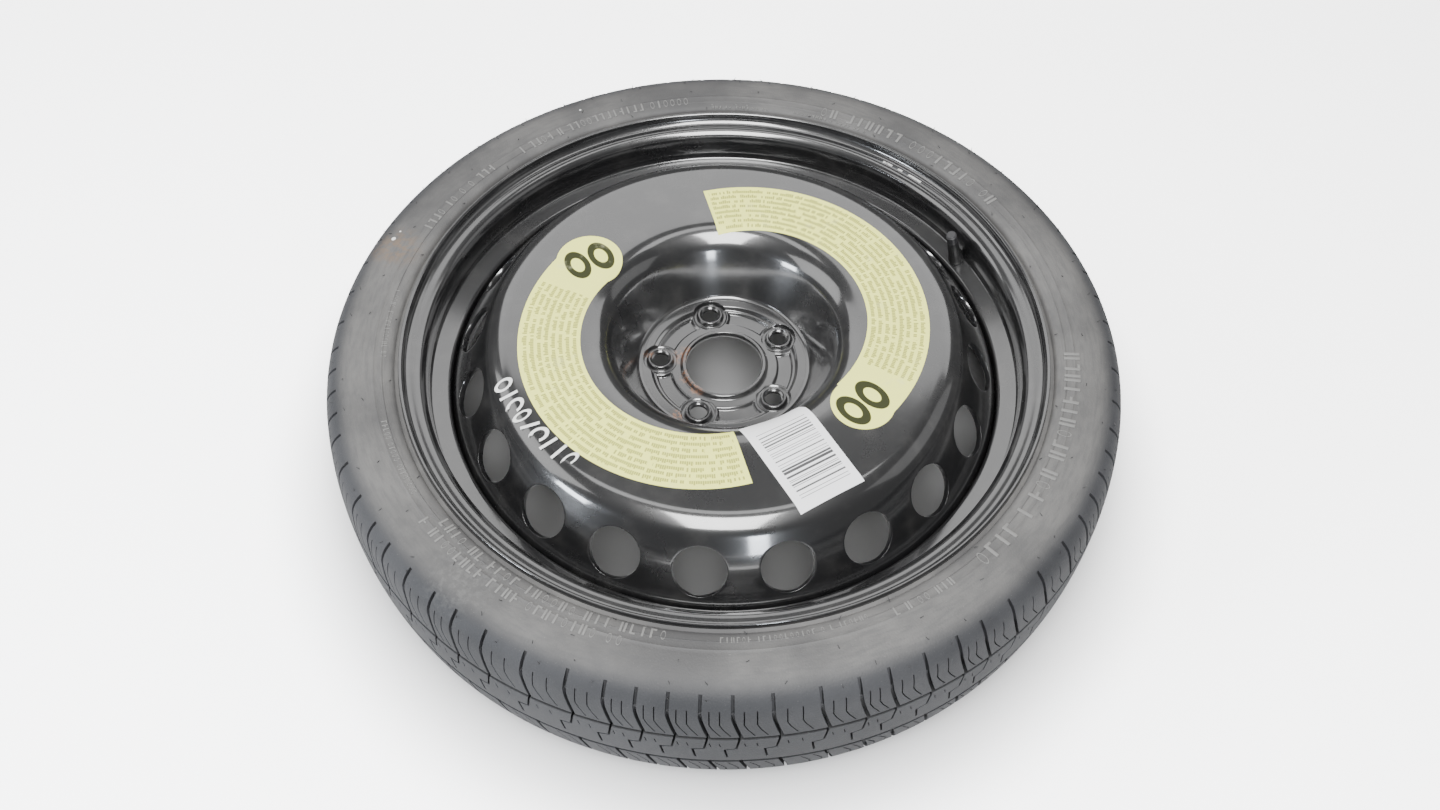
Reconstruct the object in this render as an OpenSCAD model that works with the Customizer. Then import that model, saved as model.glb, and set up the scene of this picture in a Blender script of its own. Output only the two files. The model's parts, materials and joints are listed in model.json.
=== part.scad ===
// Space-saver spare wheel: a narrow tyre on a pressed steel wheel, lying
// outboard side up. The origin is the centre of the bolt circle on the
// mounting face, and +Z runs along the axle towards the outboard side.

/* [Tyre] */
// Outside diameter over the tread
tyre_d = 680; // [660:2:700]
// Section width between the sidewalls
tyre_w = 144; // [136:1:152]
// Width of the tread before its shoulders turn down
tread_w = 90; // [84:1:96]
// Drop of the tread from its crown to its edge
tread_drop = 3.4; // [2:0.2:5]
// Thickness of rubber and belts under the tread
tread_t = 12.5; // [11:0.5:15]
// Thickness of the sidewall where it is widest
sidewall_t = 8; // [6:0.5:10]
// Depth of the tread pattern
groove_depth = 7; // [4:0.5:8]
// Width of the two grooves that run round the tread
ring_groove_w = 3.2; // [2:0.2:5]
// Distance of those grooves from the middle of the tread
ring_groove_z = 22; // [18:1:26]
// Width of the grooves that run across the shoulders
cross_groove_w = 2.8; // [2:0.2:4]
// Pitches of the tread blocks in degrees, one run, repeated round the tyre
pitch_run = [4, 5, 6, 6, 5, 4, 4, 4, 4, 5, 6, 5, 4, 5, 5];
// Number of runs that go round the tyre
pitch_runs = 5; // [5]

/* [Rim] */
// Diameter over the bead seats
rim_d = 512.8; // [510:0.2:516]
// Width between the bead flanges
rim_w = 114.3; // [108:0.1:120]
// Height of the flange above the bead seat
flange_h = 17.3; // [16.5:0.1:18]
// Radius of the curled flange edge
curl_r = 9.5; // [8.5:0.1:10]
// Thickness of the rim's sheet
rim_t = 2.8; // [2.5:0.1:3.2]
// Radius of the well on the wheel's inner side
well_r = 237; // [235:0.5:238]
// Slope of the ledge between the outboard bead seat and the well
ledge_slope = 14; // [8:1:20]
// Distance from the middle of the tyre to the top of that ledge
ledge_z = 29.5; // [27:0.5:31]
// Distance of the tyre's middle plane below the mounting face
wheel_offset = 17.2; // [14:0.2:20]

/* [Disc] */
// Thickness of the disc's sheet
disc_t = 4.5; // [3.5:0.1:5]
// Radius of the centre bore
bore_r = 33.3; // [28:0.1:35]
// Height of the collar round the bore above the mounting face
collar_z = 9.5; // [8.5:0.1:11]
// Diameter of the bolt circle
bolt_pcd = 112; // [110:0.5:114]
// Number of bolt holes
bolt_count = 5; // [5]
// Radius of a bolt hole
bolt_hole_r = 7.5; // [6.5:0.1:8]
// Radius of the ball seat that a wheel bolt presses on
seat_r = 13; // [12:0.1:14]
// Height of the bolt seats above the mounting face
boss_z = 9.5; // [8.5:0.1:11]
// Radius where the bowl's wall starts from the hub shelf
bowl_foot_r = 74.6; // [72:0.1:78]
// Slope of the bowl's wall
bowl_slope = 62; // [55:1:66]
// Radius of the rounded edge between the bowl and the flat
bowl_edge_r = 30; // [20:1:36]
// Height of the flat above the mounting face
flat_z = 62.5; // [56:0.5:66]
// Radius of the rounded shoulder outside the flat
shoulder_r = 25; // [18:1:30]
// Slope of the outer wall, where the vent holes are
wall_slope = 54; // [50:1:58]
// Radius of the circle through the vent holes' centres
vent_ring_r = 217.7; // [216:0.1:219]
// Height of the vent holes' centres
vent_ring_z = 30; // [28:0.5:32]
// Diameter of a vent hole
vent_d = 43; // [34:0.5:46]
// Number of vent holes
vent_count = 20; // [16:1:22]
// Length of each weld between the disc and the rim, in degrees
weld_arc = 30; // [15:1:38]
// Number of welds
weld_count = 8; // [6:1:9]

/* [Valve] */
// Place of the valve round the rim
valve_angle = 16.4; // [10:0.1:24]
// Distance of the valve hole from the axle
valve_r = 247; // [246.5:0.1:247.5]
// Lean of the valve towards the axle
valve_lean = 18; // [15:1:20]
// Diameter of the valve hole
valve_hole_d = 11.3; // [10.5:0.1:12]
// Length of the valve stem above the rim
stem_len = 40; // [36:0.5:44]
// Length of thread that stands out of the rubber
thread_len = 9; // [8:0.5:12]
// Radius over the stem's thread
stem_r = 3.85; // [3.7:0.05:4]
// Radius of the cap
cap_r = 4.75; // [4.6:0.05:5.2]

/* [Labels] */
// Thickness of a label
label_t = 0.2; // [0.1:0.05:0.4]
// Inner radius of the curved labels
label_in_r = 99.5; // [97:0.5:102]
// Outer radius of the curved labels
label_out_r = 151.5; // [148:0.5:153]
// Width of the stock label
stock_w = 58; // [50:1:62]
// Length of the stock label
stock_len = 92; // [80:1:96]

/* [Hidden] */
$fn = 96;
eps = 0.01;
bead_r = rim_d / 2;
lip_turn = 25;
curl_c = [bead_r + flange_h - curl_r, rim_w / 2 + curl_r];
heel_r = 6.5;
heel_c = [bead_r + heel_r, rim_w / 2 - heel_r];

// Points of an arc round centre c, in the plane of radius and height
function arc(c, r, a0, a1, n) =
  [for (i = [0:n]) c + r * [cos(a0 + (a1 - a0) * i / n), sin(a0 + (a1 - a0) * i / n)]];

function unit(v) = v / norm(v);
function left_of(v) = [-v[1], v[0]];
function reversed(list) = [for (i = [len(list) - 1:-1:0]) list[i]];
function mirrored(list) = [for (p = list) [p[0], -p[1]]];

// A path moved sideways by t, to its left where t is positive
function beside(path, t) = [for (i = [0:len(path) - 1])
  let (
    last = len(path) - 1,
    before = unit(path[max(i, 1)] - path[max(i, 1) - 1]),
    after = unit(path[min(i, last - 1) + 1] - path[min(i, last - 1)]),
    side = unit(left_of(before) + left_of(after))
  )
  path[i] + side * t / (side * left_of(after))];

// A band of sheet metal with one face on the path
function sheet(path, t) = concat(path, reversed(beside(path, t)));

// Which way a path turns at b: 1 to the left, -1 to the right
function bend_way(a, b, c) =
  (b[0] - a[0]) * (c[1] - b[1]) - (b[1] - a[1]) * (c[0] - b[0]) > 0 ? 1 : -1;

// The rounded corner at b between the lines a-b and b-c
function corner(a, b, c, r, step = 7) =
  let (
    u = unit(a - b),
    v = unit(c - b),
    half = acos(u * v) / 2,
    centre = b + unit(u + v) * r / sin(half),
    from = b + u * r / tan(half) - centre,
    a0 = atan2(from[1], from[0]),
    turn = 180 - 2 * half
  )
  arc(centre, r, a0, a0 + bend_way(a, b, c) * turn, max(2, ceil(turn / step)));

// A path through the points, each inner one rounded by its radius
function rounded(points, radii) = [for (i = [0:len(points) - 1])
  each (i == 0 || i == len(points) - 1) ? [points[i]]
    : corner(points[i - 1], points[i], points[i + 1], radii[i])];

// The other face of a sheet t thick, whose bends keep its thickness
function far_face(points, radii, t) = rounded(
  beside(points, -t),
  [for (i = [0:len(points) - 1]) (i == 0 || i == len(points) - 1) ? 0
    : max(0.5, radii[i] + t * bend_way(points[i - 1], points[i], points[i + 1]))]
);

module lathe(outline) rotate_extrude($fn = 180) polygon(outline);

// Tyre side of one half of the rim, from the curled lip in to the well
bead_path = concat(
  arc(curl_c, curl_r, lip_turn, -90, 9),
  arc(heel_c, heel_r, 90, 180, 6),
  [[bead_r - 1.2, rim_w / 2 - 19], [bead_r + 0.2, rim_w / 2 - 22], [bead_r - 0.4, rim_w / 2 - 25]]
);
seat_end = bead_path[len(bead_path) - 1];
well_out = well_r + rim_t;
seat_in_r = seat_end[0] - 0.2 - rim_t;
ledge_low_z = ledge_z - rim_t / cos(ledge_slope) + rim_t * tan(ledge_slope);
well_points = [
  seat_end - [0.1, 0.6],
  [seat_end[0] - 0.2, ledge_low_z],
  [well_out, ledge_low_z - (seat_end[0] - 0.2 - well_out) * tan(ledge_slope)],
  [well_out, -10],
  [seat_end[0] - 0.3, 29 - rim_w / 2],
  [seat_end[0] - 0.1, 0.6 - seat_end[1]]
];
well_radii = [0, rim_t + 2, 1.5, 12, 14, 0];
rim_outline = concat(
  bead_path,
  rounded(well_points, well_radii),
  reversed(mirrored(bead_path)),
  mirrored(beside(bead_path, -rim_t)),
  reversed(far_face(well_points, well_radii, rim_t)),
  reversed(beside(bead_path, -rim_t))
);

// Outboard face of the disc, from the hub out to the rim
shelf_z = collar_z - 0.5;
band_z = disc_t + 1.5;
flange_face_r = well_r - 0.1;
flange_corner_z = vent_ring_z - (flange_face_r - vent_ring_r) * tan(wall_slope);
flange_bend_r = 28;
flange_top_z = flange_corner_z - flange_bend_r * tan(45 - wall_slope / 2);
flange_low_z = flange_top_z - 10;
bowl_top_r = bowl_foot_r + (flat_z - shelf_z) / tan(bowl_slope);
wall_top_r = vent_ring_r - (flat_z - vent_ring_z) / tan(wall_slope);
flat_in_r = bowl_top_r + bowl_edge_r * tan(bowl_slope / 2);
flat_out_r = wall_top_r - shoulder_r * tan(wall_slope / 2);
disc_points = [
  [bore_r + 10, band_z],
  [61.8, band_z],
  [64.4, shelf_z],
  [bowl_foot_r, shelf_z],
  [bowl_top_r, flat_z],
  [wall_top_r, flat_z],
  [flange_face_r, flange_corner_z],
  [flange_face_r, flange_low_z]
];
disc_radii = [0, 1.2, 1.2, 5, bowl_edge_r, shoulder_r, flange_bend_r, 0];
disc_face = rounded(disc_points, disc_radii);
collar_face = [
  [bore_r + 0.6, collar_z],
  [bore_r + 2.4, collar_z],
  [bore_r + 3.6, collar_z - 0.7],
  [bore_r + 4.3, collar_z - 2.2],
  [bore_r + 5.8, band_z + 0.5],
  [bore_r + 8, band_z]
];
back_z = band_z - disc_t;
collar_back = concat(
  [[bore_r, collar_z - 0.6]],
  arc([bore_r + 3.4, back_z + 3.4], 3.4, 180, 270, 5)
);
disc_outline = concat(
  collar_back,
  far_face(disc_points, disc_radii, disc_t),
  reversed(disc_face),
  reversed(collar_face)
);

// Half of the tyre's outside, from the crown out to the curled rim lip
crown_r = tyre_d / 2;
edge_r = crown_r - tread_drop;
half_w = tyre_w / 2;
edge_z = tread_w / 2;
wide_r = (crown_r + bead_r) / 2;
liner_r = crown_r - tread_t;
function crown(z) = crown_r - tread_drop * pow(z / edge_z, 2.2);
function bezier(p, n) = [for (i = [1:n]) let (u = i / n, w = 1 - u)
  w * w * w * p[0] + 3 * u * w * w * p[1] + 3 * u * u * w * p[2] + u * u * u * p[3]];
groove_in = ring_groove_z - ring_groove_w / 2;
groove_out = ring_groove_z + ring_groove_w / 2;
tread_half = concat(
  [for (z = [0, groove_in / 2, groove_in]) [crown(z), z]],
  [
    [crown(groove_in) - groove_depth, groove_in + 0.4],
    [crown(groove_out) - groove_depth, groove_out - 0.4]
  ],
  [for (i = [0:3]) let (z = groove_out + (edge_z - groove_out) * i / 3) [crown(z), z]]
);
shoulder_half = bezier(
  [
    [edge_r, edge_z],
    [edge_r - 3, edge_z + (half_w - edge_z) * 0.75],
    [edge_r - 14, half_w - 0.5],
    [wide_r, half_w]
  ], 9);
lip_r = bead_r + flange_h;
gap = 0.15;
low_r = (lip_r + wide_r) / 2;
sidewall_half = [
  [low_r + (wide_r - low_r) * 0.3, half_w - 0.3],
  [lip_r + (low_r - lip_r) * 0.62, half_w - 1.8],
  [lip_r + (low_r - lip_r) * 0.27, half_w - 4.6]
];
bead_half = beside([for (i = [2:17]) bead_path[i]], gap);
toe = bead_half[len(bead_half) - 1];
inside_half = [
  [bead_r + 3, rim_w / 2 - 21],
  [bead_r + 14, rim_w / 2 - 14],
  [lip_r + (low_r - lip_r) * 0.46, half_w - sidewall_t - 7],
  [(low_r + wide_r) / 2, half_w - sidewall_t],
  [wide_r + (liner_r - wide_r) * 0.26, half_w - sidewall_t - 1],
  [wide_r + (liner_r - wide_r) * 0.61, half_w - sidewall_t - 9],
  [liner_r - 3, edge_z],
  [liner_r, edge_z - 16]
];
tyre_half = concat(tread_half, shoulder_half, sidewall_half, bead_half, inside_half);
tyre_outline = concat(
  tyre_half,
  reversed(mirrored([for (i = [1:len(tyre_half) - 1]) tyre_half[i]]))
);

// Start angle of tread block number i
function run_sum(i) = i <= 0 ? 0 : pitch_run[(i - 1) % len(pitch_run)] + run_sum(i - 1);
function pitch_at(i) = floor(i / len(pitch_run)) * 360 / pitch_runs + run_sum(i % len(pitch_run));

// A cut that follows a line across the tread, w wide, bottom at radius r
module tread_cut(line, w, r) {
  outline = concat(beside(line, w / 2), reversed(beside(line, -w / 2)));
  translate([r, 0, 0])
    rotate([90, 0, 90])
      linear_extrude(height = crown_r - r + 3)
        polygon(outline);
}

// One groove across a shoulder, bent near the groove that runs round the tread
module cross_groove() {
  floor_r = edge_r - groove_depth + 2.5;
  tread_cut([[7, groove_out - 1], [1.8, edge_z - 2], [0, edge_z + 9]], cross_groove_w, floor_r);
  rotate([90, 0, 0])
    translate([0, 0, 0.1 - cross_groove_w / 2])
      linear_extrude(height = cross_groove_w - 0.2)
        polygon([
          [floor_r - 1.5, edge_z + 5],
          [edge_r - 13.5, edge_z + 21.5],
          [edge_r + 2, edge_z + 21.5],
          [edge_r + 6, edge_z + 5]
        ]);
}

// One stepped cut across the middle rib
module rib_cut() {
  tread_cut([[4, groove_in + 1], [2, 7], [-4, 2], [-2, -8]], 1.8, crown_r - groove_depth);
}

module tyre() {
  color("dimgray")
    translate([0, 0, -wheel_offset])
      difference() {
        lathe(tyre_outline);
        for (i = [0:len(pitch_run) * pitch_runs - 1]) {
          rotate([0, 0, pitch_at(i)]) cross_groove();
          rotate([0, 0, pitch_at(i) + 2.4]) mirror([0, 0, 1]) mirror([0, 1, 0]) cross_groove();
          rotate([0, 0, pitch_at(i)]) rib_cut();
        }
      }
}

// Place of the valve in the ledge, on the floor of a shallow pressed pocket
pocket_depth = 0.4;
valve_z = ledge_z - (seat_in_r - valve_r) * tan(ledge_slope) - pocket_depth - wheel_offset;
module at_valve() {
  rotate([0, 0, valve_angle])
    translate([valve_r, 0, valve_z])
      rotate([0, -valve_lean, 0])
        children();
}

hole_r = valve_hole_d / 2;
pocket_r = hole_r + 1.4;
module rim() {
  color([0.05, 0.05, 0.05])
    difference() {
      translate([0, 0, -wheel_offset]) lathe(rim_outline);
      at_valve() cylinder(h = 14, r1 = pocket_r, r2 = hole_r + 0.6, $fn = 64);
      at_valve() translate([0, 0, -12]) cylinder(h = 16, d = valve_hole_d, $fn = 48);
    }
}

boss_r = 10.5;
boss_foot_r = 12.2;
moat_r = 14.2;
moat_z = disc_t + 0.7;
pocket_gap = 1;
island_in_r = 46.2;
island_out_r = 60;
bolt_r = bolt_pcd / 2;
relief_r = bolt_hole_r + 4.5;
ring_in_r = bolt_r - relief_r - 3;
bolt_step = 360 / bolt_count;
seat_top_r = boss_r - 0.9;
seat_c = boss_z + sqrt(seat_r * seat_r - seat_top_r * seat_top_r);
seat_low_z = seat_c - sqrt(seat_r * seat_r - bolt_hole_r * bolt_hole_r);

module at_bolts() {
  for (i = [0:bolt_count - 1])
    rotate([0, 0, 90 + i * bolt_step])
      translate([bolt_r, 0, 0])
        children();
}

// The pressed areas between the bolts, from height z0 to z1, widened by slant
module islands(z0, z1, slant) {
  difference() {
    for (i = [0:bolt_count - 1])
      rotate([0, 0, 90 + (i + 0.5) * bolt_step - 28])
        rotate_extrude(angle = 56, $fn = 180)
          polygon([
            [island_in_r, z0],
            [island_out_r, z0],
            [island_out_r + slant, z1],
            [island_in_r - slant, z1]
          ]);
    at_bolts() translate([0, 0, z0 - 1]) cylinder(h = z1 - z0 + 2, r = moat_r + pocket_gap, $fn = 64);
  }
}

// The ring that rests on the car's hub, relieved round the bolts
module mounting_ring() {
  difference() {
    lathe([
      [ring_in_r, 0],
      [island_out_r, 0],
      [island_out_r, back_z + 1],
      [ring_in_r, back_z + 1]
    ]);
    at_bolts() translate([0, 0, -1]) cylinder(h = back_z + 3, r = relief_r, $fn = 64);
  }
}

module bolt_boss() {
  lathe([
    [0, back_z + 1],
    [boss_foot_r + 1.4, back_z + 1],
    [boss_foot_r + 1.4, moat_z - 0.6],
    [boss_foot_r, moat_z + 0.6],
    [boss_r + 0.6, boss_z - 0.8],
    [boss_r, boss_z],
    [0, boss_z]
  ]);
}

module bolt_hole() {
  translate([0, 0, -1]) cylinder(h = boss_z + 2, r = bolt_hole_r, $fn = 64);
  translate([0, 0, seat_c]) sphere(r = seat_r, $fn = 64);
  translate([0, 0, back_z - 1]) cylinder(h = disc_t - 0.8, r1 = 10.8, r2 = 8.6, $fn = 64);
}

module vent_hole() {
  translate([vent_ring_r, 0, vent_ring_z])
    rotate([0, wall_slope, 0])
      translate([0, 0, -14])
        cylinder(h = 28, d = vent_d, $fn = 96);
}

module disc() {
  color([0.07, 0.07, 0.07])
    difference() {
      union() {
        difference() {
          union() {
            lathe(disc_outline);
            at_bolts() translate([0, 0, back_z + 0.4]) cylinder(h = 3.4, r = moat_r + 1.8, $fn = 64);
            mounting_ring();
          }
          at_bolts() translate([0, 0, moat_z]) cylinder(h = 8, r = moat_r, $fn = 64);
          islands(disc_t, band_z + 4, 1.2);
        }
        at_bolts() bolt_boss();
      }
      at_bolts() bolt_hole();
      for (i = [0:vent_count - 1])
        rotate([0, 0, 90 + i * 360 / vent_count]) vent_hole();
    }
}

// Fillet welds between the end of the disc's flange and the rim's well
module disc_welds() {
  color([0.1, 0.1, 0.1])
    for (i = [0:weld_count - 1])
      rotate([0, 0, (i + 0.5) * 360 / weld_count - weld_arc / 2])
        rotate_extrude(angle = weld_arc, $fn = 180)
          polygon([
            [well_r, flange_low_z],
            [well_r, flange_low_z - 4.5],
            [well_r - 1.6, flange_low_z - 3.9],
            [well_r - 3.2, flange_low_z - 2.2],
            [well_r - 4, flange_low_z]
          ]);
}

// Valve pieces, drawn upright from the rim's surface at height 0
stem_in_r = 3.1;
stem_foot = -7;
core_r = 2.6;
core_low_r = 1.9;
rubber_top = stem_len - thread_len;
module valve_body() {
  color([0.09, 0.09, 0.09])
    at_valve()
      lathe([
        [stem_in_r, stem_foot],
        [hole_r, stem_foot],
        [hole_r + 1.3, stem_foot + 1.2],
        [hole_r + 1.3, -rim_t - 0.8],
        [hole_r + 0.9, -rim_t - 0.2],
        [hole_r - 0.05, -rim_t - 0.2],
        [hole_r - 0.05, 0.15],
        [hole_r + 0.6, 0.15],
        [hole_r + 1, 1.2],
        [hole_r + 0.95, 4.5],
        [hole_r + 0.5, 9],
        [hole_r - 0.2, 14],
        [stem_r + 1.3, rubber_top - 4],
        [stem_r + 0.9, rubber_top],
        [stem_r, rubber_top],
        [stem_r, rubber_top - 3],
        [stem_in_r, rubber_top - 4]
      ]);
}

core_top = stem_len - 1;
plug_low = core_top - 5.5;
sleeve_low = plug_low - 9;
module valve_stem() {
  color([0.72, 0.57, 0.3])
    at_valve()
      lathe([
        [1.3, stem_foot],
        [stem_in_r, stem_foot],
        [stem_in_r, rubber_top - 4],
        [stem_r, rubber_top - 3],
        [stem_r, stem_len - 0.6],
        [stem_r - 0.6, stem_len],
        [core_r, stem_len],
        [core_r, plug_low - 1],
        [core_low_r, plug_low - 2.2],
        [core_low_r, sleeve_low - 5],
        [1.3, sleeve_low - 6]
      ]);
}

pin_r = 0.55;
pin_hole_r = 0.62;
module core_plug() {
  color([0.75, 0.6, 0.32])
    at_valve()
      difference() {
        lathe([
          [pin_hole_r, plug_low],
          [1.5, plug_low],
          [core_r - 0.03, plug_low + 0.6],
          [core_r - 0.03, core_top - 1.6],
          [1.9, core_top - 1.6],
          [1.9, core_top],
          [pin_hole_r, core_top]
        ]);
        for (side = [-1, 1])
          translate([side * 1.9 - 0.75, -3, core_top - 1.6]) cube([1.5, 6, 2]);
      }
}

spring_top = plug_low - 1.2;
spring_low = sleeve_low + 1.2;
module core_sleeve() {
  color([0.78, 0.63, 0.34])
    at_valve()
      lathe([
        [pin_hole_r, plug_low],
        [1.5, plug_low],
        [1.5, plug_low - 0.9],
        [1.35, plug_low - 1.2],
        [1.35, plug_low - 2.8],
        [1.6, plug_low - 3],
        [1.6, sleeve_low],
        [pin_hole_r, sleeve_low],
        [pin_hole_r, sleeve_low + 0.9],
        [1.2, sleeve_low + 0.9],
        [1.2, spring_top + 0.3],
        [pin_hole_r, spring_top + 0.3]
      ]);
}

module core_seal() {
  color([0.75, 0.1, 0.08])
    at_valve()
      lathe([
        [1.38, plug_low - 1.3],
        [core_r - 0.35, plug_low - 1.3],
        [core_low_r - 0.05, plug_low - 2.5],
        [core_low_r - 0.05, plug_low - 2.75],
        [1.38, plug_low - 2.75]
      ]);
}

cup_top = sleeve_low - 0.05;
collar_low = spring_top - 1;
module core_pin() {
  color([0.8, 0.68, 0.4])
    at_valve()
      lathe([
        [0, cup_top - 3.4],
        [pin_r, cup_top - 3.4],
        [pin_r, spring_top - 0.5],
        [0.95, spring_top - 0.5],
        [0.95, spring_top - 0.1],
        [pin_r, spring_top - 0.1],
        [pin_r, core_top + 0.3],
        [0, core_top + 0.3]
      ]);
}

module core_cup() {
  color([0.82, 0.7, 0.42])
    at_valve()
      lathe([
        [pin_r, cup_top - 2.6],
        [1.1, cup_top - 2.6],
        [1.7, cup_top - 1.6],
        [1.7, cup_top],
        [pin_r, cup_top]
      ]);
}

spring_turns = 5;
spring_steps = 12;
module core_spring() {
  wire = 0.13;
  coil_r = 0.86;
  low = spring_low - 0.1;
  rise = (spring_top - 0.65 - wire) - (low + wire);
  color([0.7, 0.7, 0.72])
    at_valve()
      for (i = [0:spring_turns * spring_steps - 1])
        hull()
          for (k = [i, i + 1])
            rotate([0, 0, k * 360 / spring_steps])
              translate([coil_r, 0, low + wire + rise * k / (spring_turns * spring_steps)])
                sphere(r = wire, $fn = 6);
}

seal_t = 0.8;
cap_top = stem_len + 0.3 + seal_t + 1.7;
cap_low = rubber_top + 0.5;
module cap_seal() {
  color([0.12, 0.12, 0.12])
    at_valve() translate([0, 0, stem_len + 0.3]) cylinder(h = seal_t, r = stem_r, $fn = 48);
}

module valve_cap() {
  color([0.25, 0.25, 0.26])
    at_valve()
      lathe([
        [0, stem_len + 0.3 + seal_t],
        [stem_r + 0.08, stem_len + 0.3 + seal_t],
        [stem_r + 0.08, cap_low],
        [cap_r, cap_low],
        [cap_r, cap_top - 1.5],
        [cap_r - 0.5, cap_top - 1.2],
        [cap_r - 0.6, cap_top - 0.5],
        [cap_r - 1.2, cap_top],
        [0, cap_top]
      ]);
}

// The skin that a label forms where it lies on the disc
module label_skin() {
  face = [for (p = disc_face) if (p[0] > bowl_top_r - 10 && p[0] < wall_top_r + 4) p];
  lathe(sheet(face, label_t));
}

// A curved label: a band with a cut end and a round end, round its own centre
module curved_label(shift, turn, cut, span, end_r) {
  intersection() {
    label_skin();
    translate([shift * cos(turn), shift * sin(turn), flat_z - 20])
      rotate([0, 0, cut - span])
        union() {
          rotate_extrude(angle = span, $fn = 180)
            translate([label_in_r, 0])
              square([label_out_r - label_in_r, 30]);
          translate([(label_in_r + label_out_r) / 2 + 1.8, 0, 0])
            cylinder(h = 30, r = end_r, $fn = 96);
        }
  }
}

module label_right() {
  color([0.86, 0.88, 0.5]) curved_label(23, 11.5, 92.5, 150.5, 26.2);
}

module label_left() {
  color([0.86, 0.88, 0.5]) curved_label(24, 196.5, 273.2, 146.5, 28.8);
}

module stock_label() {
  color("white")
    intersection() {
      label_skin();
      rotate([0, 0, -13.4])
        translate([60.2, -129, flat_z - 20])
          rotate([0, 0, -59])
            linear_extrude(height = 30)
              polygon([
                [-stock_len / 2, -stock_w / 2],
                [stock_len / 2, -stock_w / 2],
                [stock_len / 2, stock_w / 2],
                [8 - stock_len / 2, stock_w / 2],
                [2.4 - stock_len / 2, stock_w / 2 - 2.4],
                [-stock_len / 2, stock_w / 2 - 8]
              ]);
    }
}

tyre();
rim();
disc();
disc_welds();
valve_body();
valve_stem();
core_plug();
core_sleeve();
core_seal();
core_pin();
core_cup();
core_spring();
cap_seal();
valve_cap();
label_right();
label_left();
stock_label();
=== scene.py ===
import bpy
import json
import math
import random
from mathutils import Matrix, Vector

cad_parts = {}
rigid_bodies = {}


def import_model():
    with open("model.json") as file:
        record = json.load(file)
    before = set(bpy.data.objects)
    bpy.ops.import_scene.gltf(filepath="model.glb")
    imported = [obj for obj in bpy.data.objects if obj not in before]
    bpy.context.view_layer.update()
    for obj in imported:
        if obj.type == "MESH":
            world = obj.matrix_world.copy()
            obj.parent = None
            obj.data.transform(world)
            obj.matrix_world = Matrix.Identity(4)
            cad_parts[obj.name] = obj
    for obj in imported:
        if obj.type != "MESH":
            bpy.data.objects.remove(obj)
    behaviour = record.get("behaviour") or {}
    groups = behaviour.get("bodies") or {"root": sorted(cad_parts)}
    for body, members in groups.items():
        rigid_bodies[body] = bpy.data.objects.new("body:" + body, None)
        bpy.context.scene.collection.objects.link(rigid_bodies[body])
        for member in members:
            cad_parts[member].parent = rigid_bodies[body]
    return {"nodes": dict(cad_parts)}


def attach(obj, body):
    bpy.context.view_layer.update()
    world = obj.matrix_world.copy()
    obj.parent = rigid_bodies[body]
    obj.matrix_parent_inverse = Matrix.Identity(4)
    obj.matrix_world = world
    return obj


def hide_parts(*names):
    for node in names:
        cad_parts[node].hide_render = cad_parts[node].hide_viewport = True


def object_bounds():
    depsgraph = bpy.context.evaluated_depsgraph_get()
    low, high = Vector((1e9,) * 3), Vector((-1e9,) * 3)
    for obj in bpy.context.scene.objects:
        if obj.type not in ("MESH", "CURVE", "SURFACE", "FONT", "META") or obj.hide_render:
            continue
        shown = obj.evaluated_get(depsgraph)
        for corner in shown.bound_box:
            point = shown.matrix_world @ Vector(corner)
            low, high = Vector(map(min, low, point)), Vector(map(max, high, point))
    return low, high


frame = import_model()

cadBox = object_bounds()
mm = 0.001
photoTurn = math.radians(-13.44)  # the photo's left-right axis in the model's frame


# small helpers used by every piece

def arcPoints(cx, cz, radius, fromDeg, toDeg, steps):
    angles = [math.radians(fromDeg + (toDeg - fromDeg) * i / steps) for i in range(steps + 1)]
    return [(cx + radius * math.cos(a), cz + radius * math.sin(a)) for a in angles]


def roundedPath(corners, stepDeg):
    # corners are (radius, height, fillet), the first and last are kept as they are
    path = [corners[0][:2]]
    for before, here, after in zip(corners, corners[1:], corners[2:]):
        b = Vector(here[:2])
        u = (Vector(before[:2]) - b).normalized()
        v = (Vector(after[:2]) - b).normalized()
        half = math.acos(max(-1, min(1, u.dot(v)))) / 2
        if here[2] <= 0 or half > math.radians(89.5):
            path.append(here[:2])
            continue
        centre = b + (u + v).normalized() * here[2] / math.sin(half)
        start = b + u * here[2] / math.tan(half) - centre
        turn = math.pi - 2 * half
        way = 1 if (-u).cross(v) > 0 else -1
        steps = max(2, math.ceil(math.degrees(turn) / stepDeg))
        a0 = math.atan2(start.y, start.x)
        for i in range(steps + 1):
            a = a0 + way * turn * i / steps
            path.append((centre.x + here[2] * math.cos(a), centre.y + here[2] * math.sin(a)))
    path.append(corners[-1][:2])
    return path


def spaced(path, longest):
    # the same path with no stretch longer than the given one
    out = [path[0]]
    for a, b in zip(path, path[1:]):
        n = max(1, math.ceil(math.dist(a, b) / longest))
        for i in range(1, n + 1):
            out.append((a[0] + (b[0] - a[0]) * i / n, a[1] + (b[1] - a[1]) * i / n))
    return out


def deselectAll():
    if bpy.context.mode != "OBJECT":
        bpy.ops.object.mode_set(mode="OBJECT")
    bpy.ops.object.select_all(action="DESELECT")


def pick(piece):
    deselectAll()
    piece.select_set(True)
    bpy.context.view_layer.objects.active = piece


def selectWhere(piece, test, kind="VERT"):
    # ends in edit mode, with the elements that pass the test selected
    pick(piece)
    bpy.ops.object.mode_set(mode="EDIT")
    bpy.ops.mesh.select_mode(type=kind)
    bpy.ops.mesh.select_all(action="DESELECT")
    bpy.ops.object.mode_set(mode="OBJECT")
    data = piece.data
    things = {"VERT": data.vertices, "EDGE": data.edges, "FACE": data.polygons}[kind]
    for thing in things:
        if test(thing):
            thing.select = True
    bpy.ops.object.mode_set(mode="EDIT")


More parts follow.
